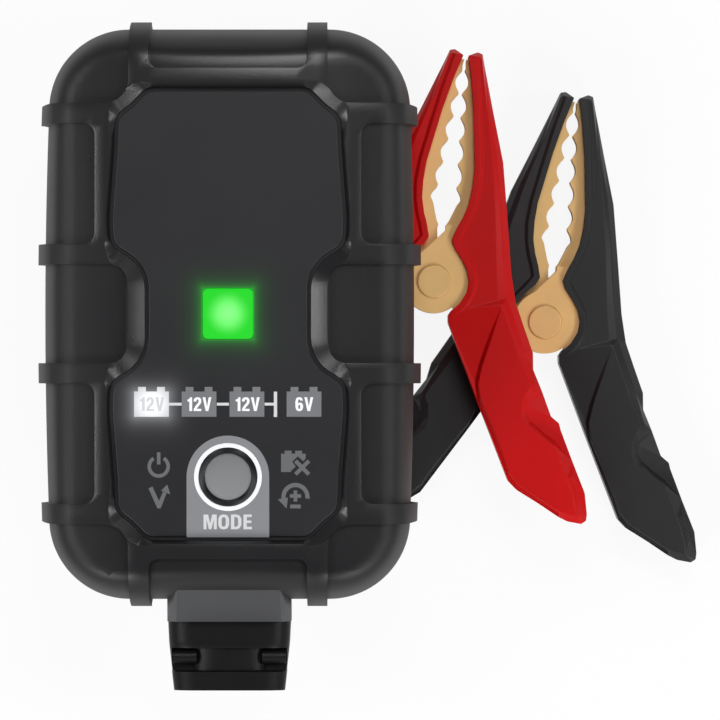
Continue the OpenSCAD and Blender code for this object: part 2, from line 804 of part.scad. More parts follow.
// Tube with six sides along a line of points
module tube(path, r, sides = 6) {
    n = len(path);
    ring = function (i)
        let (
            d = unit(path[min(i + 1, n - 1)] - path[max(i - 1, 0)]),
            u = unit(cross(d, [0, 0, 1])),
            v = cross(u, d)
        )
        [for (k = [0:sides - 1]) path[i] + r * (cos(360 * k / sides) * u + sin(360 * k / sides) * v)];
    points = [for (i = [0:n - 1]) each ring(i)];
    sides_of = [
        for (i = [0:n - 2], k = [0:sides - 1])
            let (a = i * sides + k, b = i * sides + (k + 1) % sides)
            each [[a, b, b + sides], [a, b + sides, a + sides]]
    ];
    caps = [
        for (k = [1:sides - 2]) [0, k + 1, k],
        for (k = [1:sides - 2]) [(n - 1) * sides, (n - 1) * sides + k, (n - 1) * sides + k + 1]
    ];
    polyhedron(points = points, faces = concat(sides_of, caps));
}

module torsion_spring() {
    tube(spring_path(), spring_wire / 2);
}

// The lead's ferrule lies along the fixed handle and looks out of its end
module ferrule_axis() {
    translate([14.4, -20.4, 0]) rotate([90, 0, 31]) children();
}

module lead_ferrule() {
    ferrule_axis()
        difference() {
            cylinder(r = 1.6, h = 9, $fn = 32);
            translate([0, 0, 2]) cylinder(r = 1.2, h = 8, $fn = 32);
        }
}

module clamp_at(place) {
    placed() translate(place) rotate([0, 0, -clamp_lean]) children();
}

module fixed_side() {
    mirror([1, 0, 0]) children();
}

module red_fixed_jaw() { color(metal) clamp_at(red_at) fixed_side() arm_jaw(inner_top, false); }
module red_moving_jaw() { color(metal) clamp_at(red_at) arm_jaw(outer_top, true); }
module red_fixed_cover() { color("#c8201e") clamp_at(red_at) fixed_side() arm_cover(inner_top); }
module red_moving_cover() { color("#d42523") clamp_at(red_at) arm_cover(outer_top); }
module red_pivot_rivet() { color("#d8b27c") clamp_at(red_at) pivot_rivet(); }
module red_torsion_spring() { color(steel) clamp_at(red_at) torsion_spring(); }
module red_lead_ferrule() { color(steel) clamp_at(red_at) fixed_side() lead_ferrule(); }

module black_fixed_jaw() { color(metal) clamp_at(black_at) fixed_side() arm_jaw(inner_top, false); }
module black_moving_jaw() { color(metal) clamp_at(black_at) arm_jaw(outer_top, true); }
module black_fixed_cover() { color("#2a2a2c") clamp_at(black_at) fixed_side() arm_cover(inner_top); }
module black_moving_cover() { color("#303032") clamp_at(black_at) arm_cover(outer_top); }
module black_pivot_rivet() { color("#d8b27c") clamp_at(black_at) pivot_rivet(); }
module black_torsion_spring() { color(steel) clamp_at(black_at) torsion_spring(); }
module black_lead_ferrule() { color(steel) clamp_at(black_at) fixed_side() lead_ferrule(); }

front_housing();
rear_housing();
front_panel();
charge_light_lens();
mode_light_windows();
fault_light_windows();
indicator_leds();
light_guide();
mode_button();
button_bezel();
button_switch();
main_board();
board_screws();
transformer_core();
transformer_winding();
input_capacitor();
output_capacitor();
bridge_rectifier();
switching_transistor();
line_fuse();
line_choke();
control_chips();
blade_carrier();
plug_blades();
strain_relief();
red_fixed_jaw();
red_moving_jaw();
red_fixed_cover();
red_moving_cover();
red_pivot_rivet();
red_torsion_spring();
red_lead_ferrule();
black_fixed_jaw();
black_moving_jaw();
black_fixed_cover();
black_moving_cover();
black_pivot_rivet();
black_torsion_spring();
black_lead_ferrule();
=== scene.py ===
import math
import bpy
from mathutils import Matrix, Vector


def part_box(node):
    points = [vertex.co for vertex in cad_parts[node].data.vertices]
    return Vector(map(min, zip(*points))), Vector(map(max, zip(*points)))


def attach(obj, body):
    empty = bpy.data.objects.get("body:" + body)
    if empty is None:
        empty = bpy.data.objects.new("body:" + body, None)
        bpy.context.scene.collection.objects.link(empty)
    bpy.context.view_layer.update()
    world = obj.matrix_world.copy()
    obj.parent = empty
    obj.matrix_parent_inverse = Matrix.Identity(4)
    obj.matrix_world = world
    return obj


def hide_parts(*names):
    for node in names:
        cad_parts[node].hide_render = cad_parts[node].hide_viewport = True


bl_info = {
    "name": "Car Battery Charger",
    "version": (1, 0, 0),
    "blender": (4, 5, 0),
    "location": "3D View > Sidebar > Charger",
    "description": "Dresses the plug-in battery charger and its two clamps, and sets the studio",
    "category": "Add Mesh",
}

import bmesh
import bpy
from bpy.props import FloatProperty, FloatVectorProperty, PointerProperty
from mathutils import Matrix, Vector
from mathutils.geometry import delaunay_2d_cdt, intersect_point_line

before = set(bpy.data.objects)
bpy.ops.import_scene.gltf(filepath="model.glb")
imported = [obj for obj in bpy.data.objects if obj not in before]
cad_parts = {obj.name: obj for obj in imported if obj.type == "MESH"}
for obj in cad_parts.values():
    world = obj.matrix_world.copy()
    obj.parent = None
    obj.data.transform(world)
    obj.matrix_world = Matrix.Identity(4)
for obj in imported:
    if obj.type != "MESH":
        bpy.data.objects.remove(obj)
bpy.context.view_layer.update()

MM = 0.001

# Heights and places that the frame gives
LENS_LO, LENS_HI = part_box("charge_light_lens")
LIGHT_AT = (LENS_LO + LENS_HI) / 2  # the charge light's middle, where charger sizes start
PANEL_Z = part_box("front_panel")[1].z
SEAT_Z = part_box("front_panel")[0].z
FRONT_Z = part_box("front_housing")[1].z
SPLIT_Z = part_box("front_housing")[0].z
BACK_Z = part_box("rear_housing")[0].z
BUTTON_LO, BUTTON_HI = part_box("mode_button")
BUTTON_AT = (BUTTON_LO + BUTTON_HI) / 2


# ------------------------------------------------------------------ settings


class ChargerHousing(bpy.types.PropertyGroup):
    """Sizes of the ribbed housing, measured from the charge light"""

    half_width: FloatProperty(
        name="Half width", description="Half the width between the ribs", default=27.9 * MM, unit="LENGTH"
    )
    half_height: FloatProperty(
        name="Half height", description="Half the height between the ribs", default=44 * MM, unit="LENGTH"
    )
    corner: FloatProperty(
        name="Corner radius", description="Radius of the housing's corners", default=12.5 * MM, unit="LENGTH"
    )
    barrel: FloatProperty(
        name="Barrel", description="How far the long sides bow out", default=0.6 * MM, unit="LENGTH"
    )
    crown: FloatProperty(
        name="Crown radius", description="Radius of the crown across the front",
        default=130 * MM, unit="LENGTH",
    )
    rib_height: FloatProperty(
        name="Rib height", description="How far ribs and frame stand proud of the pads",
        default=1.1 * MM, unit="LENGTH",
    )
    rib_width: FloatProperty(
        name="Rib width", description="Width of the ribs on the long sides", default=3.1 * MM, unit="LENGTH"
    )
    outer_rib: FloatProperty(
        name="Outer ribs", description="Height of the outer ribs above and below the middle",
        default=30.6 * MM, unit="LENGTH",
    )
    inner_rib: FloatProperty(
        name="Inner ribs", description="Height of the inner ribs above and below the middle",
        default=9.1 * MM, unit="LENGTH",
    )
    end_rib: FloatProperty(
        name="End ribs", description="Distance of the end ribs from the middle line",
        default=13.5 * MM, unit="LENGTH",
    )
    slope_drop: FloatProperty(
        name="Slope drop", description="Height of the slope round the panel", default=0.58 * MM, unit="LENGTH"
    )
    edge: FloatProperty(
        name="Edge", description="Rounding of the frame's edges", default=0.42 * MM, unit="LENGTH"
    )
    seam: FloatProperty(
        name="Seam", description="Width of the seam between the shells", default=0.16 * MM, unit="LENGTH"
    )


class ChargerPanel(bpy.types.PropertyGroup):
    """Sizes of the label panel and of what is printed on it"""

    half_width: FloatProperty(
        name="Half width", description="Half the panel's width at its shoulders",
        default=18.15 * MM, unit="LENGTH",
    )
    half_height: FloatProperty(
        name="Half height", description="Half the panel's height", default=34.6 * MM, unit="LENGTH"
    )
    waist: FloatProperty(
        name="Waist", description="Half the panel's width at its waist", default=12.68 * MM, unit="LENGTH"
    )
    groove: FloatProperty(
        name="Groove", description="Width and depth of the groove round the panel",
        default=0.62 * MM, unit="LENGTH",
    )
    row: FloatProperty(
        name="Mode row", description="Height of the row of mode lights", default=-13.8 * MM, unit="LENGTH"
    )
    arch_width: FloatProperty(
        name="Arch width", description="Width of the grey field behind the button",
        default=12.6 * MM, unit="LENGTH",
    )
    print_height: FloatProperty(
        name="Print", description="Thickness of the print", default=0.02 * MM, unit="LENGTH"
    )


class ChargerFinish(bpy.types.PropertyGroup):
    """Colours, in linear light"""

    housing: FloatVectorProperty(
        name="Housing", description="Moulded black of the shells",
        subtype="COLOR", default=(0.0112, 0.0114, 0.0124),
    )
    panel: FloatVectorProperty(
        name="Panel", description="Dark grey of the label panel",
        subtype="COLOR", default=(0.0140, 0.0140, 0.0160),
    )
    print_grey: FloatVectorProperty(
        name="Print grey", description="Grey of the signs", subtype="COLOR", default=(0.11, 0.113, 0.12)
    )
    print_white: FloatVectorProperty(
        name="Print white", description="White of the lettering", subtype="COLOR", default=(0.88, 0.89, 0.91)
    )
    light: FloatVectorProperty(
        name="Charge light", description="Green of the lit square",
        subtype="COLOR", default=(0.016, 0.5, 0.02),
    )
    red: FloatVectorProperty(
        name="Red covers", description="Red of the covers", subtype="COLOR", default=(0.54, 0.0035, 0.004)
    )
    black: FloatVectorProperty(
        name="Black covers", description="Black of the covers",
        subtype="COLOR", default=(0.0175, 0.017, 0.0185),
    )
    jaw: FloatVectorProperty(
        name="Jaws", description="Plating of the jaws", subtype="COLOR", default=(0.9, 0.56, 0.215)
    )


class ChargerClamps(bpy.types.PropertyGroup):
    """Sizes of the moulded covers of the clamps"""

    lean: FloatProperty(
        name="Lean", description="Turn of the clamps to the right", default=math.radians(8), subtype="ANGLE"
    )
    half: FloatProperty(
        name="Half thickness", description="From the middle to the covers' faces",
        default=4.8 * MM, unit="LENGTH",
    )
    face: FloatProperty(
        name="Face", description="From the middle to the sunk faces", default=4.45 * MM, unit="LENGTH"
    )
    flank: FloatProperty(
        name="Flank", description="From the middle to the foot of the sloping flanks",
        default=3.1 * MM, unit="LENGTH",
    )
    rounding: FloatProperty(
        name="Rounding", description="Rounding of the covers' edges", default=0.28 * MM, unit="LENGTH"
    )


class ChargerStage(bpy.types.PropertyGroup):
    """Camera and lamps"""

    distance: FloatProperty(
        name="Camera distance", description="From the lens to the panel", default=1.0, unit="LENGTH"
    )
    scale: FloatProperty(
        name="Image scale", description="Image pixels per millimetre on the panel", default=6.56
    )
    light_x: FloatProperty(name="Light X", description="Image column of the charge light", default=227.9)
    light_y: FloatProperty(name="Light Y", description="Image row of the charge light", default=313.6)
    image: FloatProperty(name="Image", description="Width of the image in pixels", default=720)
    key: FloatProperty(name="Key", description="Power of the main lamps", default=2.3, subtype="POWER")


SETTINGS = (ChargerHousing, ChargerPanel, ChargerClamps, ChargerFinish, ChargerStage)


# ------------------------------------------------------------------ shader maths


class Sock:
    """A shader socket that takes part in Python sums"""

    def __init__(self, tree, out):
        self.tree = tree
        self.out = out

    def _maths(self, operation, a, b):
        return self.tree.node("ShaderNodeMath", {"operation": operation}, {0: a, 1: b})

    def __add__(self, other):
        return self._maths("ADD", self, other)

    __radd__ = __add__

    def __mul__(self, other):
        return self._maths("MULTIPLY", self, other)

    __rmul__ = __mul__

    def __sub__(self, other):
        return self._maths("SUBTRACT", self, other)

    def __rsub__(self, other):
        return self._maths("SUBTRACT", other, self)

    def __abs__(self):
        return self._maths("ABSOLUTE", self, 0)

    def at_least(self, other):
        return self._maths("MAXIMUM", self, other)

    def at_most(self, other):
        return self._maths("MINIMUM", self, other)

    def __pow__(self, other):
        return self._maths("POWER", self, other)

    def __rpow__(self, other):
        return self._maths("POWER", other, self)

    def smooth(self, low, high):
        """0 below low, 1 above high, and a smooth step between"""
        return self.tree.node(
            "ShaderNodeMapRange",
            {"interpolation_type": "SMOOTHSTEP"},
            {"Value": self, "From Min": low, "From Max": high},
        )


class Finish:
    """A node material under construction"""

    def __init__(self, name):
        self.material = bpy.data.materials.new(name)
        self.material.use_nodes = True
        self.nodes = self.material.node_tree.nodes
        self.links = self.material.node_tree.links
        self.nodes.clear()
        self.shader = self.nodes.new("ShaderNodeBsdfPrincipled")
        self.end = self.nodes.new("ShaderNodeOutputMaterial")
        self.links.new(self.shader.outputs[0], self.end.inputs[0])

    def node(self, kind, settings=None, values=None, output=0):
        """Adds a node, sets its settings and then its sockets, and hands back one output"""
        node = self.nodes.new(kind)
        for key, value in (settings or {}).items():
            setattr(node, key, value)
        for key, value in (values or {}).items():
            self.feed(node.inputs[key], value)
        return Sock(self, node.outputs[output])

    def feed(self, socket, value):
        if isinstance(value, Sock):
            self.links.new(value.out, socket)
        elif hasattr(value, "__len__") and len(value) == 3 and socket.type == "RGBA":
            socket.default_value = (*value, 1)
        else:
            socket.default_value = value

    def place(self, centre=(0, 0, 0)):
        """Object coordinates in millimetres about a centre"""
        coords = self.node("ShaderNodeTexCoord", output=3)
        moved = self.node("ShaderNodeVectorMath", {"operation": "SUBTRACT"}, {0: coords, 1: tuple(centre)})
        return self.node("ShaderNodeMapping", None, {0: moved, "Scale": (1000, 1000, 1000)})

    def split(self, vector):
        """The X and the Y of a place"""
        return [self.node("ShaderNodeSeparateXYZ", None, {0: vector}, output=i) for i in range(2)]

    def noise(self, where, scale, detail=3.0, roughness=0.55):
        values = {"Vector": where, "Scale": scale, "Detail": detail, "Roughness": roughness}
        return self.node("ShaderNodeTexNoise", None, values)

    def mix(self, factor, low, high):
        """A colour between two, by a factor"""
        return self.node("ShaderNodeMix", {"data_type": "RGBA"}, {0: factor, 6: low, 7: high}, output=2)

    def bump(self, height, strength, distance):
        values = {"Height": height, "Strength": strength, "Distance": distance}
        return self.node("ShaderNodeBump", None, values)

    def set(self, **sockets):
        for key, value in sockets.items():
            self.feed(self.shader.inputs[key.replace("_", " ")], value)
        return self.material


def times(colour, factor):
    """A colour made lighter or darker"""
    return tuple(c * factor for c in colour)


def span(x, y):
    """Distance from the middle, from two sockets"""
    return (x * x + y * y) ** 0.5


def outside(x, y, half_x, half_y):
    """Distance outside a rectangle about the middle, from two sockets"""
    return span((abs(x) - half_x).at_least(0), (abs(y) - half_y).at_least(0))


def moulded(name, colour, roughness=0.42, grain=0.35, spread=0.12, specular=0.55, pitch=3.2):
    """Fine-textured moulded plastic with a little mottle and faint scuffs"""
    f = Finish(name)
    where = f.place()
    cloud = f.noise(where, 0.09, 4)
    fine = f.noise(where, pitch, 2, 0.6)
    scuff = f.noise(where, 0.45, 6, 0.7).smooth(0.58, 0.75)
    f.set(Specular_IOR_Level=specular)
    return f.set(
        Base_Color=f.mix(cloud, times(colour, 1 - spread), times(colour, 1 + spread)),
        Roughness=roughness + (cloud - 0.5) * 0.08 + scuff * 0.05,
        Normal=f.bump(fine, grain, 0.00006),
    )


def housing_finish(colours, sizes):
    """Moulded black: satin on the front, more matt where the sides turn away, where painted shade also darkens the
    base colour
    """
    f = Finish("moulded_black")
    where = f.place(LIGHT_AT)
    core = [(half - sizes.corner) / MM for half in (sizes.half_width, sizes.half_height)]
    side = outside(*f.split(where), *core).smooth(7.4, 10.4)
    cloud = f.noise(where, 0.09, 4)
    scuff = f.noise(where, 0.45, 6, 0.7).smooth(0.58, 0.75)
    front = f.mix(cloud, times(colours.housing, 0.92), times(colours.housing, 1.08))
    f.set(Specular_IOR_Level=0.42)
    return f.set(
        # Painted shade: the side mask halves the base colour on the walls that turn away, standing in for the shade
        # that falls there
        Base_Color=f.mix(side, front, times(colours.housing, 0.5)),
        Roughness=0.28 + (cloud - 0.5) * 0.06 + scuff * 0.05 + side * 0.32,
        Normal=f.bump(f.noise(where, 3.2, 2, 0.6), 0.2, 0.00006),
    )


def plated(name, colour, roughness=0.3, metallic=0.82):
    """Satin plating with faint rolling marks and a little tarnish"""
    f = Finish(name)
    where = f.place()
    drawn = f.node("ShaderNodeVectorMath", {"operation": "MULTIPLY"}, {0: where, 1: (6, 0.7, 6)})
    marks = f.noise(drawn, 1.2, 3)
    tarnish = f.noise(where, 0.22, 5)
    return f.set(
        Base_Color=f.mix(tarnish, times(colour, 0.82), colour),
        Metallic=metallic,
        Roughness=roughness + marks * 0.12 + tarnish * 0.06,
        Normal=f.bump(marks, 0.12, 0.00005),
    )


def lit_lens(colour):
    """The lit charge light: brightest in the middle"""
    f = Finish("charge_light_lit")
    where = f.place(LIGHT_AT)
    heart = 1 - span(*f.split(where)).smooth(0.2, 3.7)
    mottle = f.noise(where, 0.5, 3)
    core = f.mix(heart * (0.85 + mottle * 0.3), colour, (0.26, 0.92, 0.25))
    f.set(Emission_Strength=1.0, Specular_IOR_Level=0.08)
    return f.set(Base_Color=times(colour, 0.4), Roughness=0.5 + mottle * 0.08, Emission_Color=core)


# ------------------------------------------------------------------ mesh helpers


def placed(name, data):
    """A new object in the scene"""
    thing = bpy.data.objects.new(name, data)
    bpy.context.scene.collection.objects.link(thing)
    return thing


def everything(mesh):
    return list(mesh.verts) + list(mesh.edges) + list(mesh.faces)


def rounded(mesh, parts, width, segments, affect="EDGES"):
    """Rounds some edges or corners of a mesh"""
    bmesh.ops.bevel(
        mesh, geom=parts, offset=width, offset_type="OFFSET", affect=affect, segments=segments, profile=0.5,
        material=-1, clamp_overlap=True,
    )


def cylinder(radius, depth, matrix, segments):
    """A round rod, upright before the matrix turns it"""
    mesh = bmesh.new()
    bmesh.ops.create_cone(
        mesh, cap_ends=True, segments=segments, radius1=radius, radius2=radius, depth=depth, matrix=matrix
    )
    return mesh


def cad_mesh(node):
    """A CAD node's own mesh, with its corners joined"""
    mesh = bmesh.new()
    mesh.from_mesh(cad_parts[node].data)
    bmesh.ops.remove_doubles(mesh, verts=list(mesh.verts), dist=2e-6)
    return mesh


def piece(name, mesh, body, finish, replaced=(), smooth=30):
    """Wraps a bmesh as a finished object that rides on a body"""
    data = bpy.data.meshes.new(name)
    mesh.to_mesh(data)
    mesh.free()
    shade(data, smooth)
    thing = placed(name, data)
    data.materials.append(finish)
    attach(thing, body)
    if replaced:
        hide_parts(*replaced)
    return thing


def shade(data, angle):
    """Smooth faces, with sharp edges above an angle"""
    for polygon in data.polygons:
        polygon.use_smooth = True
    data.set_sharp_from_angle(angle=math.radians(angle))


def outline_face(mesh, points, z=0.0):
    """One flat face through a closed line of points"""
    return mesh.faces.new([mesh.verts.new((x, y, z)) for x, y in points])


def raise_face(mesh, face, height):
    """Extrudes a flat face upwards into a prism"""
    made = bmesh.ops.extrude_face_region(mesh, geom=[face])
    verts = [v for v in made["geom"] if isinstance(v, bmesh.types.BMVert)]
    bmesh.ops.translate(mesh, vec=(0, 0, height), verts=verts)


def prism(points, bottom, top, round_off=0.0, segments=6):
    """A straight prism, with its corners rounded by a vertex bevel"""
    mesh = bmesh.new()
    face = outline_face(mesh, points, bottom)
    if round_off:
        rounded(mesh, list(mesh.verts), round_off, segments, "VERTICES")
        mesh.faces.ensure_lookup_table()
        face = mesh.faces[0]
    if face.normal.z > 0 or not face.normal.length:
        face.normal_update()
    raise_face(mesh, face, top - bottom)
    bmesh.ops.recalc_face_normals(mesh, faces=list(mesh.faces))
    return mesh


def rectangle(x0, y0, x1, y1):
    return [(x0, y0), (x1, y0), (x1, y1), (x0, y1)]


def append(mesh, other):
    """Adds another bmesh to this one and frees it"""
    data = bpy.data.meshes.new("part")
    other.to_mesh(data)
    other.free()
    mesh.from_mesh(data)
    bpy.data.meshes.remove(data)


def cut(mesh, cutter):
    """Takes the cutter's volume out of the mesh, and hands back a new bmesh"""
    things = []
    for source in (mesh, cutter):
        data = bpy.data.meshes.new("cut")
        source.to_mesh(data)
        source.free()
        things.append(placed("cut", data))
    modifier = things[0].modifiers.new("cut", "BOOLEAN")
    modifier.object = things[1]
    modifier.operation = "DIFFERENCE"
    modifier.solver = "EXACT"
    modifier.use_self = True
    ready = things[0].evaluated_get(bpy.context.evaluated_depsgraph_get())
    result = bmesh.new()
    result.from_mesh(ready.to_mesh())
    for thing in things:
        data = thing.data
        bpy.data.objects.remove(thing)
        bpy.data.meshes.remove(data)
    return result


def bevel_top(mesh, height, width, segments=3):
    """Rounds the edges of the top, which lies at a height"""
    edges = [
        e for e in mesh.edges
        if len(e.link_faces) == 2
        and all(abs(v.co.z - height) < 1e-7 for v in e.verts)
        and e.calc_face_angle(0) > 0.25
    ]
    rounded(mesh, edges, width, segments)


def slice_up(mesh, step, half_x, half_y):
    """Cuts the mesh along a grid, so that it can be bent"""
    for axis, half in ((0, half_x), (1, half_y)):
        normal = Vector((1, 0, 0)) if axis == 0 else Vector((0, 1, 0))
        count = int(half / step)
        for i in range(-count, count + 1):
            bmesh.ops.bisect_plane(
                mesh, geom=everything(mesh), dist=1e-7, plane_co=normal * (i * step), plane_no=normal
            )


def dressed(node, body, finish, width, segments=2):
    """A CAD node's own shape with its edges rounded, standing in its place"""
    mesh = cad_mesh(node)
    bmesh.ops.dissolve_limit(
        mesh, angle_limit=math.radians(1.0), verts=list(mesh.verts), edges=list(mesh.edges), delimit={"NORMAL"}
    )
    thing = piece(node + "_finished", mesh, body, finish, (node,), 32)
    soften(thing, width, segments, 28)


def soften(thing, width, segments, angle):
    """Rounds a piece's edges that are sharper than an angle"""
    rounding = thing.modifiers.new("rounding", "BEVEL")
    rounding.width = width
    rounding.segments = segments
    rounding.limit_method = "ANGLE"
    rounding.angle_limit = math.radians(angle)
    rounding.harden_normals = True
    rounding.use_clamp_overlap = True


# ------------------------------------------------------------------ the housing's bent sheet


class Wrap:
    """Bends a flat layout over the housing's front, round its edge and down its sides"""

    def __init__(self, sizes):
        self.sizes = sizes
        self.core_x = sizes.half_width - sizes.corner
        self.core_y = sizes.half_height - sizes.corner
        pad_z = FRONT_Z - sizes.rib_height
        reach = sizes.corner
        self.flat = reach - 5.4 * MM
        # distance out from the core, and height, from the front face round to the back
        knots = [
            (self.flat, pad_z), (reach - 3.7 * MM, pad_z - 0.75 * MM), (reach - 2.2 * MM, pad_z - 2.6 * MM),
            (reach - 1.2 * MM, pad_z - 5.4 * MM), (reach, SPLIT_Z),
            (reach - 1.2 * MM, (SPLIT_Z + BACK_Z) / 2), (reach - 2.4 * MM, BACK_Z + 1.9 * MM),
            (reach - 3.4 * MM, BACK_Z + 0.5 * MM), (reach - 5 * MM, BACK_Z), (2 * MM, BACK_Z),
        ]
        self.table = [(0.0, *knots[0])]
        for i in range(len(knots) - 1):
            before = knots[max(i - 1, 0)]
            after = knots[min(i + 2, len(knots) - 1)]
            for j in range(1, 13):
                r, z = self.curve(before, knots[i], knots[i + 1], after, j / 12)
                s, r0, z0 = self.table[-1]
                self.table.append((s + math.hypot(r - r0, z - z0), r, z))
            if i == 3:
                self.seam = self.flat + self.table[-1][0]
        self.end = self.flat + self.table[-1][0]

    @staticmethod
    def curve(p0, p1, p2, p3, t):
        """Catmull-Rom curve with tangents scaled to the chord"""
        chord = math.dist(p1, p2)
        before = max(math.dist(p0, p1), 1e-9)
        after = max(math.dist(p2, p3), 1e-9)
        out = []
        for a, b, c, d in zip(p0, p1, p2, p3):
            m1 = ((b - a) / before + (c - b) / chord) / 2 * chord if p0 != p1 else (c - b)
            m2 = ((c - b) / chord + (d - c) / after) / 2 * chord if p2 != p3 else (c - b)
            out.append(
                (2 * t ** 3 - 3 * t ** 2 + 1) * b + (t ** 3 - 2 * t ** 2 + t) * m1
                + (-2 * t ** 3 + 3 * t ** 2) * c + (t ** 3 - t ** 2) * m2
            )
        return out

    def profile(self, s):
        """Distance and height at a length along the profile"""
        low, high = 0, len(self.table) - 1
        while high - low > 1:
            middle = (low + high) // 2
            if self.table[middle][0] <= s:
                low = middle
            else:
                high = middle
        s0, r0, z0 = self.table[low]
        s1, r1, z1 = self.table[high]
        t = (s - s0) / max(s1 - s0, 1e-12)
        return r0 + (r1 - r0) * t, z0 + (z1 - z0) * t

    def bend(self, u, v):
        """Where a point of the flat layout lies on the pads' surface"""
        qx = max(-self.core_x, min(self.core_x, u))
        qy = max(-self.core_y, min(self.core_y, v))
        ex, ey = u - qx, v - qy
        far = math.hypot(ex, ey)
        pad_z = FRONT_Z - self.sizes.rib_height
        if far <= self.flat:
            x, y, z = u, v, pad_z
        else:
            reach, z = self.profile(far - self.flat)
            x, y = qx + ex / far * reach, qy + ey / far * reach
            swell = max(0.0, (reach - self.flat) / (self.sizes.corner - self.flat))
            bow = 1 - min(1.0, (y / self.core_y) ** 2)
            x += self.sizes.barrel * swell * bow * ex / far
        crown = pad_z - x * x / (2 * self.sizes.crown)
        blend = 1.2 * MM
        h = max(0.0, min(1.0, 0.5 + 0.5 * (crown - z) / blend))
        if z > SPLIT_Z:
            z = crown * (1 - h) + z * h - blend * h * (1 - h)
        return Vector((x, y, z))

    def normal(self, u, v):
        step = 0.15 * MM
        across = self.bend(u + step, v) - self.bend(u - step, v)
        along = self.bend(u, v + step) - self.bend(u, v - step)
        out = across.cross(along)
        return out.normalized() if out.length > 1e-16 else Vector((0, 0, 1))

    def apply(self, mesh):
        """Bends a whole mesh: its height stands off the pads' surface"""
        for vert in mesh.verts:
            u, v, w = vert.co
            place = self.bend(u, v) + self.normal(u, v) * w
            vert.co = place + Vector((LIGHT_AT.x, LIGHT_AT.y, 0))

    def boundary(self, far, steps=14):
        """Rounded outline of the flat layout at a distance from the core"""
        points = []
        for k, (sx, sy) in enumerate(((1, 1), (-1, 1), (-1, -1), (1, -1))):
            for i in range(steps + 1):
                a = math.radians(90 * (k + i / steps))
                points.append((sx * self.core_x + far * math.cos(a), sy * self.core_y + far * math.sin(a)))
        return points


# Width of the frame's slope in millimetres at distances above and below the middle
SLOPE_WIDTHS = (
    (0, 2.75), (9.3, 2.6), (10.2, 1.5), (11.4, 0.5), (27.5, 0.4), (29.7, 1.1), (31, 2.3), (33, 2.4),
    (34.1, 1.8), (34.6, 0.6), (40, 0.6),
)


def slope_width(y):
    """How broad the frame's slope is at a height: most at the waist and at the cut corners"""
    far = abs(y) / MM
    for (y0, w0), (y1, w1) in zip(SLOPE_WIDTHS, SLOPE_WIDTHS[1:]):
        if far <= y1:
            return (w0 + (w1 - w0) * (far - y0) / (y1 - y0)) * MM
    return SLOPE_WIDTHS[-1][1] * MM


def eased(loop, most):
    """A closed line whose corners are cut a little way along their sides"""
    line = []
    for i, corner in enumerate(loop):
        for other in (loop[i - 1], loop[(i + 1) % len(loop)]):
            part = min(0.3, most / math.dist(corner, other))
            line.append(tuple(a + (b - a) * part for a, b in zip(corner, other)))
    return line


def panel_outline(panel, grow=0.0):
    """The panel's outline: broad shoulders, cut corners and a narrow waist"""
    w, h, k = panel.half_width, panel.half_height, panel.waist
    quarter = [
        (k, 0), (k, 4.3 * MM), (k + 0.35 * MM, 5.9 * MM), (k + 1.3 * MM, 7.5 * MM), (k + 2.45 * MM, 8.6 * MM),
        (k + 3.85 * MM, 9.4 * MM), (w - 0.55 * MM, 10.2 * MM), (w - 0.15 * MM, 11.3 * MM), (w, 13 * MM),
        (w, 15.1 * MM), (w - 0.75 * MM, 25.1 * MM), (w - 0.9 * MM, 29.7 * MM), (w - 1.8 * MM, 30.95 * MM),
        (w - 3 * MM, 31.75 * MM), (w - 5.3 * MM, h - 0.5 * MM), (w - 6.4 * MM, h),
    ]
    ring = quarter[1:] + [(-x, y) for x, y in reversed(quarter[1:])]
    ring += [(-x, -y) for x, y in quarter[1:]] + [(x, -y) for x, y in reversed(quarter[1:])]
    ring = eased(eased(ring, 0.5 * MM), 0.2 * MM)
    middle = []
    for i, (x, y) in enumerate(ring):
        before, after = Vector(ring[i - 1]), Vector(ring[(i + 1) % len(ring)])
        out = (after - before).normalized()
        far = grow(y) if callable(grow) else grow
        middle.append((x + out.y * far, y - out.x * far))
    return middle


def pad_cutters(sizes, panel, reach, bottom, top):
    """Prisms that cut the lowered pads out of the flat frame"""
    tall = sizes.rib_width / 2
    boxes = []
    for sx in (-1, 1):
        for sy in (-1, 1):
            boxes.append((sx * (panel.half_width + 2 * MM), sy * (sizes.inner_rib + tall),
                          sx * reach, sy * (sizes.outer_rib - tall), 1.8 * MM))
            boxes.append((sx * (sizes.end_rib + 1.6 * MM), sy * (sizes.outer_rib + tall),
                          sx * reach, sy * reach * 1.4, 3.5 * MM))
        boxes.append((sx * (panel.waist + 2.62 * MM), -(sizes.inner_rib - tall),
                      sx * reach, sizes.inner_rib - tall, 2.6 * MM))
    for sy in (-1, 1):
        boxes.append((-(sizes.end_rib - 1.45 * MM), sy * (panel.half_height + 2.8 * MM),
                      sizes.end_rib - 1.45 * MM, sy * reach * 1.4, 1.5 * MM))
    cutters = bmesh.new()
    for x0, y0, x1, y1, r in boxes:
        corners = rectangle(min(x0, x1), min(y0, y1), max(x0, x1), max(y0, y1))
        append(cutters, prism(corners, bottom, top, r, 8))
    return cutters


def funnel(panel, top, drop):
    """A cutter that slopes the frame's edge down towards the panel"""
    mesh = bmesh.new()
    low = [mesh.verts.new((x, y, top - drop - slope_width(y) * 0.18)) for x, y in panel_outline(panel)]
    high = [mesh.verts.new((x, y, top + drop * 0.25)) for x, y in panel_outline(panel, slope_width)]
    edges = []
    for ring_of in (low, high):
        edges += [mesh.edges.new((a, b)) for a, b in zip(ring_of, ring_of[1:] + ring_of[:1])]
    bmesh.ops.bridge_loops(mesh, edges=edges)
    mesh.faces.new(low)
    mesh.faces.new(high)
    bmesh.ops.recalc_face_normals(mesh, faces=list(mesh.faces))
    return mesh


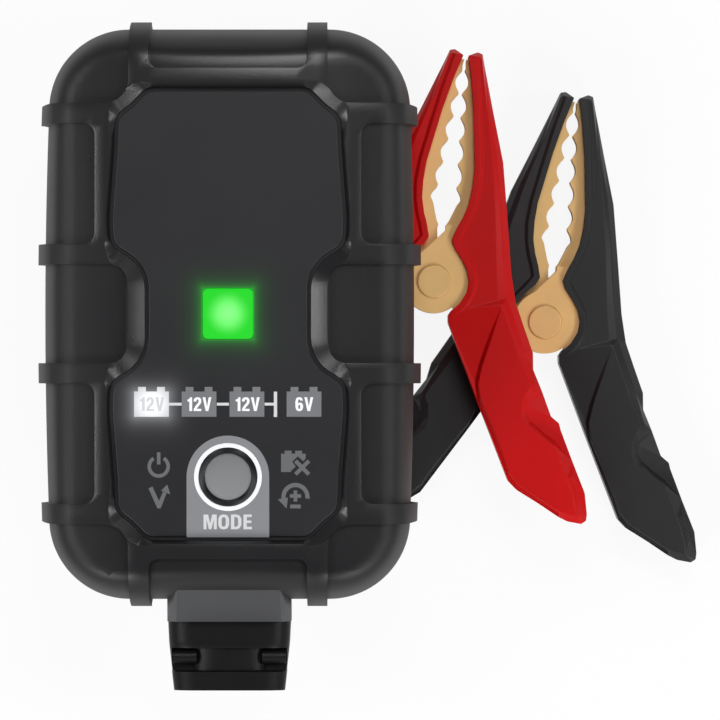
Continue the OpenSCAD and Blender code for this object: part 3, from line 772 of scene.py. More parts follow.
def make_frame(wrap, sizes, panel):
    """The raised frame round the panel and the front half of the ribs"""
    low, high = -1.6 * MM, sizes.rib_height
    mesh = prism(wrap.boundary(wrap.seam - sizes.seam), low, high)
    mesh = cut(mesh, pad_cutters(sizes, panel, 70 * MM, low - MM, high + MM))
    mesh = cut(mesh, prism(panel_outline(panel), low - MM, high + MM))
    mesh = cut(mesh, funnel(panel, high, sizes.slope_drop))
    bevel_top(mesh, high, sizes.edge)
    slice_up(mesh, 1.7 * MM, 44 * MM, 62 * MM)
    wrap.apply(mesh)
    return mesh


def make_shell(wrap, sizes, panel):
    """The front shell's skin at the level of the pads"""
    low, high = -1.2 * MM, 0.0
    mesh = prism(wrap.boundary(wrap.seam - sizes.seam), low, high)
    mesh = cut(mesh, prism(panel_outline(panel, 0.9 * MM), low - MM, high + MM))
    slice_up(mesh, 1.3 * MM, 44 * MM, 62 * MM)
    wrap.apply(mesh)
    return mesh


def make_rear(wrap, sizes, panel):
    """The back shell with the back half of the ribs"""
    low, high = -1.2 * MM, sizes.rib_height
    skin = prism(wrap.boundary(wrap.end), low, 0)
    skin = cut(skin, prism(wrap.boundary(wrap.seam + sizes.seam), low - MM, MM))
    slice_up(skin, 1.6 * MM, 66 * MM, 84 * MM)
    wrap.apply(skin)
    fade = wrap.end - wrap.sizes.corner + 5.2 * MM
    ribs = prism(wrap.boundary(fade), low, high)
    ribs = cut(ribs, prism(wrap.boundary(wrap.seam + sizes.seam), low - MM, high + MM))
    ribs = cut(ribs, pad_cutters(sizes, panel, 80 * MM, low - MM, high + MM))
    bevel_top(ribs, high, sizes.edge)
    slice_up(ribs, 1.7 * MM, 66 * MM, 84 * MM)
    wrap.apply(ribs)
    append(skin, ribs)
    # the flat middle of the back
    middle = [(x + LIGHT_AT.x, y + LIGHT_AT.y) for x, y in wrap.boundary(2.4 * MM)]
    append(skin, prism(middle, BACK_Z, BACK_Z + 1.2 * MM))
    return skin


class CHARGER_OT_housing(bpy.types.Operator):
    """Makes both shells with their raised frame and ribs"""

    bl_idname = "charger.housing"
    bl_label = "Housing"

    def execute(self, context):
        scene = context.scene
        sizes, panel = scene.charger_housing, scene.charger_panel
        wrap = Wrap(sizes)
        black = housing_finish(scene.charger_finish, sizes)
        for name, make, replaced in (
            ("front_shell", make_shell, ("front_housing",)),
            ("bumper_frame", make_frame, ()),
            ("back_shell", make_rear, ("rear_housing",)),
        ):
            piece(name, make(wrap, sizes, panel), "charger", black, replaced, 40)
        return {"FINISHED"}


# ------------------------------------------------------------------ label panel, lights and print


def at_light(points):
    return [(x + LIGHT_AT.x, y + LIGHT_AT.y) for x, y in points]


# Where the lit window lies from the charge light, in millimetres: how far left and how far down
LIT_LEFT, LIT_DOWN = 11.7, 13.8


def panel_finish(colours):
    """Satin film with the glow of the two lit windows painted on as emission"""
    f = Finish("panel_film")
    where = f.place(LIGHT_AT)
    x, y = f.split(where)
    cloud = f.noise(where, 0.08, 4)
    fine = f.noise(where, 4.0, 2)
    lens_half = 3.85
    # Painted glow: light from the green square and from the lit mode window is painted onto the film as emission,
    # fading with distance from each
    green_far = outside(x, y, lens_half, lens_half)
    green = 0.18 * 0.45 ** green_far + 0.34 * 0.1 ** green_far
    white = 0.42 * 0.36 ** outside(x + LIT_LEFT, y + LIT_DOWN, 2.2, 1.5)
    painted_glow = f.mix(white, f.mix(green, (0, 0, 0), (0.004, 0.5, 0.015)), (0.75, 0.76, 0.78))
    f.set(Specular_IOR_Level=0.3, Emission_Strength=1.0)
    return f.set(
        Base_Color=f.mix(cloud, times(colours.panel, 0.9), times(colours.panel, 1.12)),
        Roughness=0.36 + cloud * 0.08,
        Emission_Color=painted_glow,
        Normal=f.bump(fine, 0.12, 0.00004),
    )


class CHARGER_OT_panel(bpy.types.Operator):
    """Makes the label panel, which also covers the unlit fault windows"""

    bl_idname = "charger.panel"
    bl_label = "Label panel"

    def execute(self, context):
        panel, colours = context.scene.charger_panel, context.scene.charger_finish
        mesh = prism(at_light(panel_outline(panel, -0.06 * MM)), SEAT_Z, PANEL_Z - panel.groove)
        append(mesh, prism(at_light(panel_outline(panel, -panel.groove)), SEAT_Z, PANEL_Z))
        half = 3.9 * MM
        hole = prism(at_light(rectangle(-half, -half, half, half)), SEAT_Z - MM, PANEL_Z + MM, 0.9 * MM)
        mesh = cut(mesh, hole)
        well = cylinder(4.6 * MM, 6 * MM, Matrix.Translation((BUTTON_AT.x, BUTTON_AT.y, PANEL_Z)), 96)
        mesh = cut(mesh, well)
        bevel_top(mesh, PANEL_Z, 0.12 * MM, 2)
        piece("label_panel", mesh, "charger", panel_finish(colours),
              ("front_panel", "fault_light_windows"), 20)
        return {"FINISHED"}


# ------------------------------------------------------------------ print and lights


# Outlines of the letters on a height of 10, each with its width
LETTERS = {
    "1": (3.6, [[(1.5, 0), (3.4, 0), (3.4, 10), (2.1, 10), (1.7, 9), (0.2, 8.2), (0.2, 6.9), (1.5, 6.9)]]),
    "2": (5.4, [
        [(0.1, 6.9), (1.9, 6.9), (2, 8), (2.7, 8.5), (3.4, 8), (3.4, 6.7), (2.9, 5.7), (0.9, 3.1), (0.1, 1.4), (0, 0),
         (5.2, 0), (5.2, 1.6), (2.1, 1.6), (2.6, 2.5), (4.4, 4.7), (5.2, 6.4), (5.2, 8.1), (4.5, 9.5), (3.5, 10),
         (1.9, 10), (0.7, 9.3), (0.1, 8)],
    ]),
    "6": (5.4, [
        [(0, 3), (0.7, 0.7), (1.9, 0), (3.5, 0), (4.7, 0.7), (5.3, 2.3), (5.3, 3.9), (4.7, 5.5), (3.6, 6.2),
         (2.5, 6), (1.9, 5.4), (1.9, 7.3), (2.3, 8.4), (3, 8.4), (3.4, 7.6), (5.1, 7.6), (4.6, 9.3), (3.5, 10),
         (1.9, 10), (0.7, 9.3), (0, 7)],
        [(2, 2.1), (2, 3.9), (2.6, 4.7), (3.2, 4.1), (3.3, 2.2), (2.7, 1.4)],
    ]),
    "V": (5.8, [[(2.1, 0), (3.9, 0), (6, 10), (4.1, 10), (3, 3.2), (1.9, 10), (0, 10)]]),
    "M": (7.6, [
        [(0, 0), (1.7, 0), (1.7, 6.8), (3, 0), (4.5, 0), (5.8, 6.8), (5.8, 0), (7.5, 0), (7.5, 10), (4.9, 10),
         (3.75, 4), (2.6, 10), (0, 10)],
    ]),
    "O": (6.4, [
        [(0, 3), (0.8, 0.8), (2.2, 0), (3.9, 0), (5.3, 0.8), (6.1, 3), (6.1, 7), (5.3, 9.2), (3.9, 10), (2.2, 10),
         (0.8, 9.2), (0, 7)],
        [(1.9, 3.1), (1.9, 6.9), (2.4, 8.1), (3.7, 8.1), (4.2, 6.9), (4.2, 3.1), (3.7, 1.9), (2.4, 1.9)],
    ]),
    "D": (6.3, [
        [(0, 0), (3.2, 0), (4.9, 0.7), (5.9, 2.9), (5.9, 7.1), (4.9, 9.3), (3.2, 10), (0, 10)],
        [(1.9, 1.7), (1.9, 8.3), (3, 8.3), (3.7, 7.7), (4, 6.8), (4, 3.2), (3.7, 2.3), (3, 1.7)],
    ]),
    "E": (5, [
        [(0, 0), (4.8, 0), (4.8, 1.7), (1.9, 1.7), (1.9, 4.3), (4.5, 4.3), (4.5, 5.9), (1.9, 5.9), (1.9, 8.3),
         (4.7, 8.3), (4.7, 10), (0, 10)],
    ]),
}


def lettering(words, height, x, y, stretch=1.07):
    """Words about a place, as loops of points in millimetres and their holes"""
    scale = height / 10
    wide = scale * stretch
    gap = 0.75
    total = sum(LETTERS[letter][0] + gap for letter in words) - gap
    left = x - total * wide / 2
    loops = []
    for letter in words:
        width, outlines = LETTERS[letter]
        loops += [
            ([(left + px * wide, y + (py - 5) * scale) for px, py in outline], number > 0)
            for number, outline in enumerate(outlines)
        ]
        left += (width + gap) * wide
    return loops


def ring(x, y, outer, inner, start=0, end=360, steps=40):
    """A ring or a part of one, as loops of points"""
    turn = [math.radians(start + (end - start) * i / steps) for i in range(steps + 1)]
    out = [(x + outer * math.cos(a), y + outer * math.sin(a)) for a in turn]
    back = [(x + inner * math.cos(a), y + inner * math.sin(a)) for a in turn]
    if end - start == 360:
        return [(out[:-1], False), (back[:-1], True)]
    return [(out + back[::-1], False)]


def bar(start, end, width):
    """A straight stroke between two points"""
    a, b = Vector(start), Vector(end)
    along = (b - a).normalized() * width / 2
    side = Vector((-along.y, along.x))
    return [([tuple(p) for p in (a + side, a - side, b - side, b + side)], False)]


def sheet_of(loops):
    """Flat faces that cover a set of loops and leave out those marked as holes"""
    places, faces, holes = [], [], set()
    for number, (points, hole) in enumerate(loops):
        area = sum(a[0] * b[1] - b[0] * a[1] for a, b in zip(points, points[1:] + points[:1]))
        faces.append(list(range(len(places), len(places) + len(points))))
        places += [Vector(p) for p in (points if area > 0 else points[::-1])]
        if hole:
            holes.add(number)
    verts, _, triangles, _, _, sources = delaunay_2d_cdt(places, [], faces, 1, 1e-5)
    mesh = bmesh.new()
    made = [mesh.verts.new((v.x * MM, v.y * MM, 0)) for v in verts]
    for triangle, source in zip(triangles, sources):
        if source and not holes.intersection(source):
            mesh.faces.new([made[i] for i in triangle])
    bmesh.ops.delete(mesh, geom=[v for v in mesh.verts if not v.link_faces], context="VERTS")
    bmesh.ops.dissolve_limit(mesh, angle_limit=0.01, verts=list(mesh.verts), edges=list(mesh.edges))
    return mesh


def printed(name, loops, finish, height, base=PANEL_Z):
    """One thin layer of print on the panel"""
    mesh = sheet_of(loops)
    flat = list(mesh.faces)
    made = bmesh.ops.extrude_face_region(mesh, geom=flat, use_keep_orig=True)
    verts = [v for v in made["geom"] if isinstance(v, bmesh.types.BMVert)]
    bmesh.ops.translate(mesh, vec=(0, 0, height), verts=verts)
    bmesh.ops.recalc_face_normals(mesh, faces=list(mesh.faces))
    bmesh.ops.translate(mesh, vec=(LIGHT_AT.x, LIGHT_AT.y, base), verts=list(mesh.verts))
    return piece(name, mesh, "charger", finish, (), 30)


def power_sign(x, y):
    return ring(x, y, 1.72, 1.18, 122, 418) + bar((x, y + 0.3), (x, y + 2.15), 0.54)


def rising_volt_sign(x, y):
    stem = [(x - 1.6, y + 1.45), (x - 1, y + 1.75), (x, y - 0.45), (x + 0.62, y + 0.95), (x + 1.15, y + 0.72),
            (x + 0.25, y - 1.6), (x - 0.25, y - 1.6)]
    head = [(x + 1.25, y + 2.05), (x + 0.3, y + 1.1), (x + 1.72, y + 0.55)]
    return [(stem, False), (head, False)]


def crossed_battery_sign(x, y):
    battery = [
        (-2.2, -1.45), (-2.2, 1.35), (-1.65, 1.35), (-1.65, 1.8), (-0.6, 1.8), (-0.6, 1.35), (-0.05, 1.35),
        (-0.05, 1.8), (1, 1.8), (1, 1.35), (1.55, 1.35), (1.55, 0.6), (1.2, 0.2), (0.35, 0.95), (-0.5, 0.1),
        (0.05, -0.6), (-0.7, -1.3), (-0.7, -1.45),
    ]
    sign = [([(x + px, y + py) for px, py in battery], False)]
    sign += bar((x, y + 0.25), (x + 2.05, y - 1.8), 0.6)
    return sign + bar((x + 2.05, y + 0.25), (x, y - 1.8), 0.6)


def swapped_poles_sign(x, y):
    sign = ring(x, y, 2.15, 1.5, -8, 196, 24)
    sign.append(([(x - 2.7, y - 0.35), (x - 1.15, y - 0.1), (x - 1.35, y - 1.75)], False))
    sign += bar((x - 0.85, y + 0.15), (x + 0.85, y + 0.15), 0.55)
    sign += bar((x, y - 0.7), (x, y + 1), 0.55)
    return sign + bar((x - 0.8, y - 1.45), (x + 0.8, y - 1.45), 0.58)


class CHARGER_OT_print(bpy.types.Operator):
    """Prints the grey field, the joining line, the signs and the lettering on the panel"""

    bl_idname = "charger.print"
    bl_label = "Print"

    def execute(self, context):
        panel, colours = context.scene.charger_panel, context.scene.charger_finish
        row = panel.row / MM
        thin = panel.print_height
        white = moulded("print_white", colours.print_white, 0.5, 0.05, 0.03)
        dim = moulded("print_dim", times(colours.print_white, 0.7), 0.5, 0.05, 0.03)
        grey = moulded("print_grey", colours.print_grey, 0.5, 0.05, 0.06)
        field = moulded("print_field", times(colours.print_grey, 1.9), 0.5, 0.05, 0.04)
        middle = (BUTTON_AT.y - LIGHT_AT.y) / MM
        half = panel.arch_width / 2 / MM
        arch = [(-half, -34.1), (half, -34.1)]
        turn = [math.pi * i / 32 for i in range(33)]
        arch += [(half * math.cos(a), middle + half * math.sin(a)) for a in turn]
        button_field = [(arch, False)] + ring(0, middle, 5.15, 5.1, 0, 360, 96)[1:]
        printed("button_field", button_field, field, thin)
        line = bar((7.25, row - 1.95), (7.25, row + 1.9), 0.5)
        for start, end in ((-9, -7.05), (-1.7, 0.15), (5.6, 7.1)):
            line += bar((start, row), (end, row), 0.42)
        printed("joining_line", line, dim, thin)
        signs = power_sign(-10.55, -23.3) + rising_volt_sign(-10.5, -28.1)
        signs += crossed_battery_sign(10.3, -22.7) + swapped_poles_sign(10.3, -27.95)
        printed("fault_signs", signs, grey, thin)
        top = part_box("mode_light_windows")[1].z
        volts = []
        for word, x in (("12V", -4.38), ("12V", 2.98), ("6V", 11.62)):
            volts += lettering(word, 2.1, x, row)
        printed("volt_lettering", volts, white, thin, top)
        printed("lit_volt_lettering", lettering("12V", 2.1, -11.6, row), dim, thin, top)
        mode = lettering("MODE", 2.25, 0, -31.75, 1.2)
        printed("mode_lettering", mode, dim, thin, PANEL_Z + thin)
        return {"FINISHED"}


def window_finish(colours):
    """Grey translucent windows, of which the first is lit"""
    f = Finish("mode_windows")
    where = f.place(LIGHT_AT)
    x, y = f.split(where)
    cloud = f.noise(where, 0.6, 3)
    far = span(x + 11.6, y + LIT_DOWN)
    lit = 1 - x.smooth(-8.9, -8.7)
    heart = 0.94 - far.smooth(0.8, 3.6) * 0.46
    grey = times(colours.print_grey, 1.45)
    f.set(Emission_Strength=1.0)
    return f.set(
        Base_Color=f.mix(cloud, times(grey, 0.95), times(grey, 1.05)),
        Roughness=0.4 + cloud * 0.1,
        Emission_Color=f.mix(lit * heart, (0, 0, 0), (0.92, 0.93, 0.95)),
    )


class CHARGER_OT_lights(bpy.types.Operator):
    """Makes the lit square, and dresses the mode windows, the button and its ring"""

    bl_idname = "charger.lights"
    bl_label = "Lights and button"

    def execute(self, context):
        colours = context.scene.charger_finish
        square = rectangle(LENS_LO.x, LENS_LO.y, LENS_HI.x, LENS_HI.y)
        mesh = prism(square, LENS_LO.z, LENS_HI.z, 0.85 * MM, 8)
        bevel_top(mesh, LENS_HI.z, 0.3 * MM, 4)
        piece("charge_light", mesh, "charger", lit_lens(colours.light),
              ("charge_light_lens",), 50)
        grey = moulded("button_rubber", (0.2, 0.205, 0.21), 0.6, 0.08, 0.05, 0.4)
        dressed("mode_button", "button", grey, 0.2 * MM)
        white = moulded("ring_white", colours.print_white, 0.35, 0.05, 0.03)
        dressed("button_bezel", "charger", white, 0.12 * MM)
        dress_node("mode_light_windows", window_finish(colours))
        return {"FINISHED"}


def dress_node(node, finish):
    """Gives a CAD node that stays in sight, or inside, its finish"""
    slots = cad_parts[node].data.materials
    slots.clear()
    slots.append(finish)


# ------------------------------------------------------------------ lead outlet and plug


class CHARGER_OT_outlet(bpy.types.Operator):
    """Makes the lead's strain relief, with its sloping collar, lumps and grooves"""

    bl_idname = "charger.outlet"
    bl_label = "Lead outlet"

    def execute(self, context):
        low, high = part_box("strain_relief")
        sizes = context.scene.charger_housing
        rubber = moulded("boot_rubber", (0.005, 0.005, 0.0055), 0.38, 0.3, 0.12, 0.2)
        # Painted light: the collar's lighter grey stands in for light catching its sloping face
        collar_painted_lit_grey = times(context.scene.charger_finish.housing, 4.6)
        grey = moulded("collar_painted_lit_plastic", collar_painted_lit_grey, 0.5, 0.3, 0.1, 0.3)
        wide = (high.x - low.x) / 2
        deep = (high.z - low.z) / 2
        root = LIGHT_AT.y - sizes.half_height
        length = root - low.y
        middle = Vector((LIGHT_AT.x, 0, SPLIT_Z))
        body = prism(rectangle(-1, -1, 1, 1), 0, 1, 0.42, 8)
        for level in (0.25, 0.28, 0.5, 0.52, 0.55, 0.77, 0.79, 0.81):
            bmesh.ops.bisect_plane(
                body, geom=everything(body), dist=1e-6, plane_co=(0, 0, level), plane_no=(0, 0, 1)
            )
        for vert in body.verts:
            t = vert.co.z
            groove = 0.55 * MM if abs(t - 0.265) < 0.02 or 0.765 < t < 0.8 else 0
            taper = 1 - 0.15 * max(0, t - 0.25) ** 1.3
            x = vert.co.x * (wide * taper - groove * 0.1)
            z = vert.co.y * (deep * (1 - 0.22 * t) - groove)
            vert.co = middle + Vector((x, root + 1.2 * MM - t * (length + 1.2 * MM), z))
        bmesh.ops.recalc_face_normals(body, faces=list(body.faces))
        for side in (-1, 1):
            body = self.recess(body, side, root, length, wide, deep, middle)
        body = cut(body, self.bore(middle, low, length))
        collar = bmesh.new()
        for side in (-1, 1):
            points = [
                (7.8, root + 2.5 * MM, 13.6), (8.1, root - 3.3 * MM, 7.4), (9.5, root + 1.6 * MM, 7.5),
                (9.55, root - 3.35 * MM, 4.6), (9.5, root + 1.6 * MM, 0.2), (9.55, root - 3.35 * MM, 0.2),
            ]
            depth = 1 if side > 0 else 0.8
            corner = bmesh.new()
            for sx in (-1, 1):
                for x, y, z in points:
                    corner.verts.new((middle.x + sx * x * MM, y, middle.z + side * z * MM * depth))
            bmesh.ops.convex_hull(corner, input=list(corner.verts))
            append(collar, corner)
        collar = cut(collar, self.bore(middle, low, length))
        edges = [e for e in collar.edges if len(e.link_faces) == 2 and e.calc_face_angle(0) > 0.3]
        rounded(collar, edges, 0.3 * MM, 3)
        piece("relief_boot", body, "charger", rubber, ("strain_relief",), 40)
        piece("relief_collar", collar, "charger", grey, (), 40)
        return {"FINISHED"}

    def bore(self, middle, low, length):
        """A cutter for the lead's hole, far longer than the boot"""
        place = Matrix.Translation((middle.x, low.y, middle.z)) @ Matrix.Rotation(math.pi / 2, 4, "X")
        return cylinder(2.5 * MM, 4 * length, place, 64)

    def recess(self, body, side, root, length, wide, deep, middle):
        """A wide notch in one flat side, with a round core and a lump at each end"""
        y0, y1 = root - length * 0.78, root - length * 0.53
        inner = middle.z + side * deep * 0.5
        outer = middle.z + side * deep * 1.2
        half = wide * 0.93
        notch = rectangle(middle.x - half, y0, middle.x + half, y1)
        box = prism(notch, min(inner, outer), max(inner, outer))
        body = cut(body, box)
        core = cylinder(1, y1 - y0, Matrix.Rotation(math.pi / 2, 4, "X"), 48)
        bmesh.ops.scale(core, vec=(5.5 * MM, 1, 1.7 * MM), verts=list(core.verts))
        bmesh.ops.translate(core, vec=(middle.x, (y0 + y1) / 2, inner), verts=list(core.verts))
        append(body, core)
        for sx in (-1, 1):
            place = Matrix.Translation((middle.x + sx * 6.87 * MM, y1 - 1.35 * MM, inner + side * 0.75 * MM))
            append(body, cylinder(1.15 * MM, 3.65 * MM, place @ Matrix.Rotation(math.pi / 2, 4, "Y"), 32))
        return body


class CHARGER_OT_plug(bpy.types.Operator):
    """Dresses the blades on the back and their carrier"""

    bl_idname = "charger.plug"
    bl_label = "Mains plug"

    def execute(self, context):
        nickel = plated("blade_nickel", (0.72, 0.70, 0.66), 0.22)
        dressed("plug_blades", "charger", nickel, 0.18 * MM, 3)
        black = moulded("carrier_black", (0.014, 0.014, 0.015), 0.5)
        dressed("blade_carrier", "charger", black, 0.3 * MM, 3)
        return {"FINISHED"}


class CHARGER_OT_inside(bpy.types.Operator):
    """Gives the pieces inside the housing their finishes"""

    bl_idname = "charger.inside"
    bl_label = "Inside"

    def execute(self, context):
        metal = plated("tinned_steel", (0.60, 0.59, 0.56), 0.3)
        black = moulded("chip_black", (0.012, 0.012, 0.013), 0.55, 0.1)
        finishes = {
            moulded("board_green", (0.012, 0.09, 0.03), 0.35, 0.1): ("main_board",),
            moulded("ferrite", (0.035, 0.033, 0.032), 0.7, 0.5): ("transformer_core", "line_choke"),
            moulded("winding_tape", (0.75, 0.55, 0.07), 0.4, 0.1): ("transformer_winding",),
            moulded("can_sleeve", (0.015, 0.02, 0.05), 0.35, 0.05): ("input_capacitor", "output_capacitor"),
            moulded("guide_white", (0.75, 0.76, 0.78), 0.4, 0.05): ("light_guide", "indicator_leds", "line_fuse"),
            black: ("bridge_rectifier", "switching_transistor", "control_chips"),
            metal: ("button_switch", "board_screws", "red_lead_ferrule", "black_lead_ferrule"),
        }
        for finish, nodes in finishes.items():
            for node in nodes:
                dress_node(node, finish)
        return {"FINISHED"}


# ------------------------------------------------------------------ clamps

# Lines of a cover in millimetres from the pivot, before the lean
JAW_SIDE = [
    (0.4, 35.9), (1.4, 32.1), (2.5, 26.9), (3.2, 22.4), (3.8, 18.6), (3.9, 15.6), (3.7, 12.8), (3.1, 10.6),
    (2.3, 8.6), (1.8, 6.9), (2.4, 5.6), (3.7, 4.1), (4.8, 2.6), (5.4, 0.8), (5.3, -1), (4.5, -2.8), (3.3, -4.2),
]
INNER_HANDLE = [(2.9, -5), (3.1, -6.2), (9.5, -18), (14.9, -27.7), (15.9, -29.5), (17.4, -30.7), (21, -32.3)]
HANDLE_END = [(24.5, -34), (26, -34.5), (28.2, -34.6), (28.9, -34), (28.9, -33), (28.1, -29.7)]
OUTER_SIDE = [
    (25.5, -25), (23, -20.4), (22.6, -19.4), (21.2, -18.5), (19.2, -14.7), (17.4, -11.6), (17, -9), (15.1, -5.3),
    (13.2, -1.5), (11.9, 2.9), (10.3, 10.4), (8.2, 20), (5.8, 26.9), (3.2, 34.6), (2.6, 36.5), (1.8, 36.7),
]
RIM_LINE = [
    (1.6, 35.9), (2.9, 30), (3.9, 24), (4.7, 18.8), (4.9, 15.3), (4.6, 12.6), (4, 10.4), (3.2, 8.3), (2.8, 6.9),
    (3.6, 5.6), (4.9, 3.9), (6, 2.2), (6.4, 0.6), (6.1, -1.4), (5.2, -3.3), (4, -4.9),
]
RIDGE_LINE = [(2.6, 35.6), (4.5, 27.9), (6.2, 21.3), (7.7, 13.8), (9.4, 3.4), (10.4, -1.5), (11.1, -2.2)]
STEP_LINE = [
    (11.1, -2.2), (10.2, -7.5), (9.3, -12.3), (9.1, -15), (9.9, -17.5), (12.7, -22.2), (15, -26.2), (16, -28.3),
    (17.5, -29.8), (20.9, -31.4), (24.3, -33), (27.2, -33.4),
]
CREST_LINE = [(11.1, -2.2), (13.1, -6.2), (14.7, -9.4), (16.8, -13), (17.3, -14.2)]
NOTCH_LINE = [
    (17.3, -14.2), (16.7, -15.5), (16.4, -17.4), (16.7, -19.2), (17.7, -20.4), (20.2, -21.8), (22.5, -23.1),
]
SCOOP_LINE = [(17.9, -15.2), (17.4, -17.2), (17.5, -18.8), (18.3, -19.8), (20.5, -21.2), (22.4, -22.3)]
LOW_CREST = [(22.5, -23.1), (25, -27.8), (26.6, -31.2), (27.2, -33.4)]


def shifted(line, distance):
    """A line moved sideways by a distance, to its right"""
    moved = []
    for i, point in enumerate(line):
        before, after = Vector(line[max(i - 1, 0)]), Vector(line[min(i + 1, len(line) - 1)])
        along = (after - before).normalized()
        moved.append((point[0] + along.y * distance, point[1] - along.x * distance))
    return moved


def towards(line, other, part):
    """A line moved part of the way to the nearest places on another line"""
    moved = []
    for point in line:
        p = Vector(point)
        near = None
        for a, b in zip(other, other[1:]):
            place, t = intersect_point_line(p, Vector(a), Vector(b))
            place = Vector(a).lerp(Vector(b), min(1, max(0, t)))
            if near is None or (place - p).length < (near - p).length:
                near = place
        moved.append(tuple(p.lerp(near, part)))
    return moved


def cover_mesh(clamps):
    """One moulded cover: a closed relief whose lines each have their own height"""
    high, face, flank = clamps.half, clamps.face, clamps.flank
    strip = face - 0.14 * MM
    places, heights, edges = [], [], []

    def draw(line, height, closed=False):
        start = len(places)
        for i, point in enumerate(line):
            places.append(Vector(point))
            heights.append(height(i / (len(line) - 1)) if callable(height) else height)
        count = len(line)
        edges.extend((start + i, start + i + 1) for i in range(count - 1))
        if closed:
            edges.append((start + count - 1, start))

    rim = len(JAW_SIDE)
    outline = JAW_SIDE + INNER_HANDLE + HANDLE_END + OUTER_SIDE
    draw(outline, flank, True)
    for i in range(rim + len(INNER_HANDLE) + len(HANDLE_END)):
        fade = min(1, max(0, (i - rim + 4) / 4))
        heights[i] = high + (strip - high) * fade
    draw(RIM_LINE, lambda t: high + (face - high) * max(0, 5 * t - 4))
    draw(shifted(RIM_LINE, -0.45)[:-1], face)
    draw(RIDGE_LINE, lambda t: face + 0.05 * MM + (high - face) * max(0, 8 * t - 7))
    draw(STEP_LINE, high)
    draw(shifted(STEP_LINE, 0.5)[1:-1], lambda t: max(strip - 0.25 * MM, face - (0.1 + 2 * t) * MM))
    draw(CREST_LINE, high)
    draw(towards(RIDGE_LINE[1:] + CREST_LINE[1:], OUTER_SIDE, 0.5), lambda t: flank + (0.95 + 0.3 * t) * MM)
    draw(NOTCH_LINE, high)
    draw(SCOOP_LINE, lambda t: flank + 1.2 * (1 - t) * MM)
    draw(LOW_CREST, high)
    draw(towards(LOW_CREST[1:-1], HANDLE_END + OUTER_SIDE, 0.5), flank + 1.2 * MM)
    verts, _, faces, from_verts, _, _ = delaunay_2d_cdt(places, edges, [], 4, 1e-5)
    mesh = bmesh.new()
    made = [mesh.verts.new((v.x * MM, v.y * MM, max(heights[k] for k in source)))
            for v, source in zip(verts, from_verts)]
    for loop in faces:
        mesh.faces.new([made[i] for i in loop])
    bmesh.ops.delete(mesh, geom=[v for v in mesh.verts if not v.link_faces], context="VERTS")
    top = list(mesh.faces)
    rim_edges = [e for e in mesh.edges if e.is_boundary]
    copy = bmesh.ops.duplicate(mesh, geom=top)
    below = [g for g in copy["geom"] if isinstance(g, bmesh.types.BMFace)]
    bmesh.ops.scale(mesh, vec=(1, 1, -1), verts=list({v for f in below for v in f.verts}))
    bmesh.ops.reverse_faces(mesh, faces=below)
    lower_edges = [e for f in below for e in f.edges if e.is_boundary]
    bmesh.ops.bridge_loops(mesh, edges=rim_edges + list(set(lower_edges)))
    bmesh.ops.recalc_face_normals(mesh, faces=list(mesh.faces))
    return mesh


class CHARGER_OT_clamps(bpy.types.Operator):
    """Makes the moulded covers and dresses the jaws and rivets of both clamps"""

    bl_idname = "charger.clamps"
    bl_label = "Clamps"

    def execute(self, context):
        clamps, colours = context.scene.charger_clamps, context.scene.charger_finish
        copper = plated("jaw_plating", colours.jaw, 0.42, 0.15)
        gold = plated("rivet_plating", times(colours.jaw, 0.94), 0.4, 0.15)
        steel = plated("spring_steel", (0.60, 0.59, 0.56), 0.3)
        for side, colour, shine in (("red", colours.red, 0.14), ("black", colours.black, 0.28)):
            finish = moulded(side + "_cover_plastic", colour, 0.4, 0.1, 0.06, shine)
            low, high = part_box(side + "_pivot_rivet")
            pivot = (low + high) / 2
            lean = Matrix.Translation(pivot) @ Matrix.Rotation(-clamps.lean, 4, "Z")
            for arm, body, flip in (("moving", "_jaw", 1), ("fixed", "_clamp", -1)):
                mesh = cover_mesh(clamps)
                bmesh.ops.transform(mesh, matrix=lean @ Matrix.Diagonal((flip, 1, 1, 1)), verts=list(mesh.verts))
                bmesh.ops.recalc_face_normals(mesh, faces=list(mesh.faces))
                name = side + "_" + arm
                cover = piece(name + "_grip", mesh, side + body, finish, (name + "_cover",), 30)
                soften(cover, clamps.rounding, 3, 9)
                dressed(name + "_jaw", side + body, copper, 0.13 * MM)
            dressed(side + "_pivot_rivet", side + "_clamp", gold, 0.15 * MM)
            across = lean.to_3x3() @ Vector((1, 0, 0))
            for part, body, outward in (("spring_coil", "_clamp", across), ("spring_leg", "_jaw", -across)):
                mesh = cad_mesh(side + "_torsion_spring")
                made = bmesh.ops.bisect_plane(
                    mesh, geom=everything(mesh), dist=1e-7, plane_co=pivot + across * 3.85 * MM,
                    plane_no=outward, clear_outer=True,
                )
                rim = [g for g in made["geom_cut"] if isinstance(g, bmesh.types.BMEdge)]
                bmesh.ops.holes_fill(mesh, edges=rim)
                bmesh.ops.recalc_face_normals(mesh, faces=list(mesh.faces))
                replaced = (side + "_torsion_spring",) if body == "_clamp" else ()
                piece(side + "_" + part, mesh, side + body, steel, replaced, 40)
        return {"FINISHED"}


# ------------------------------------------------------------------ stage


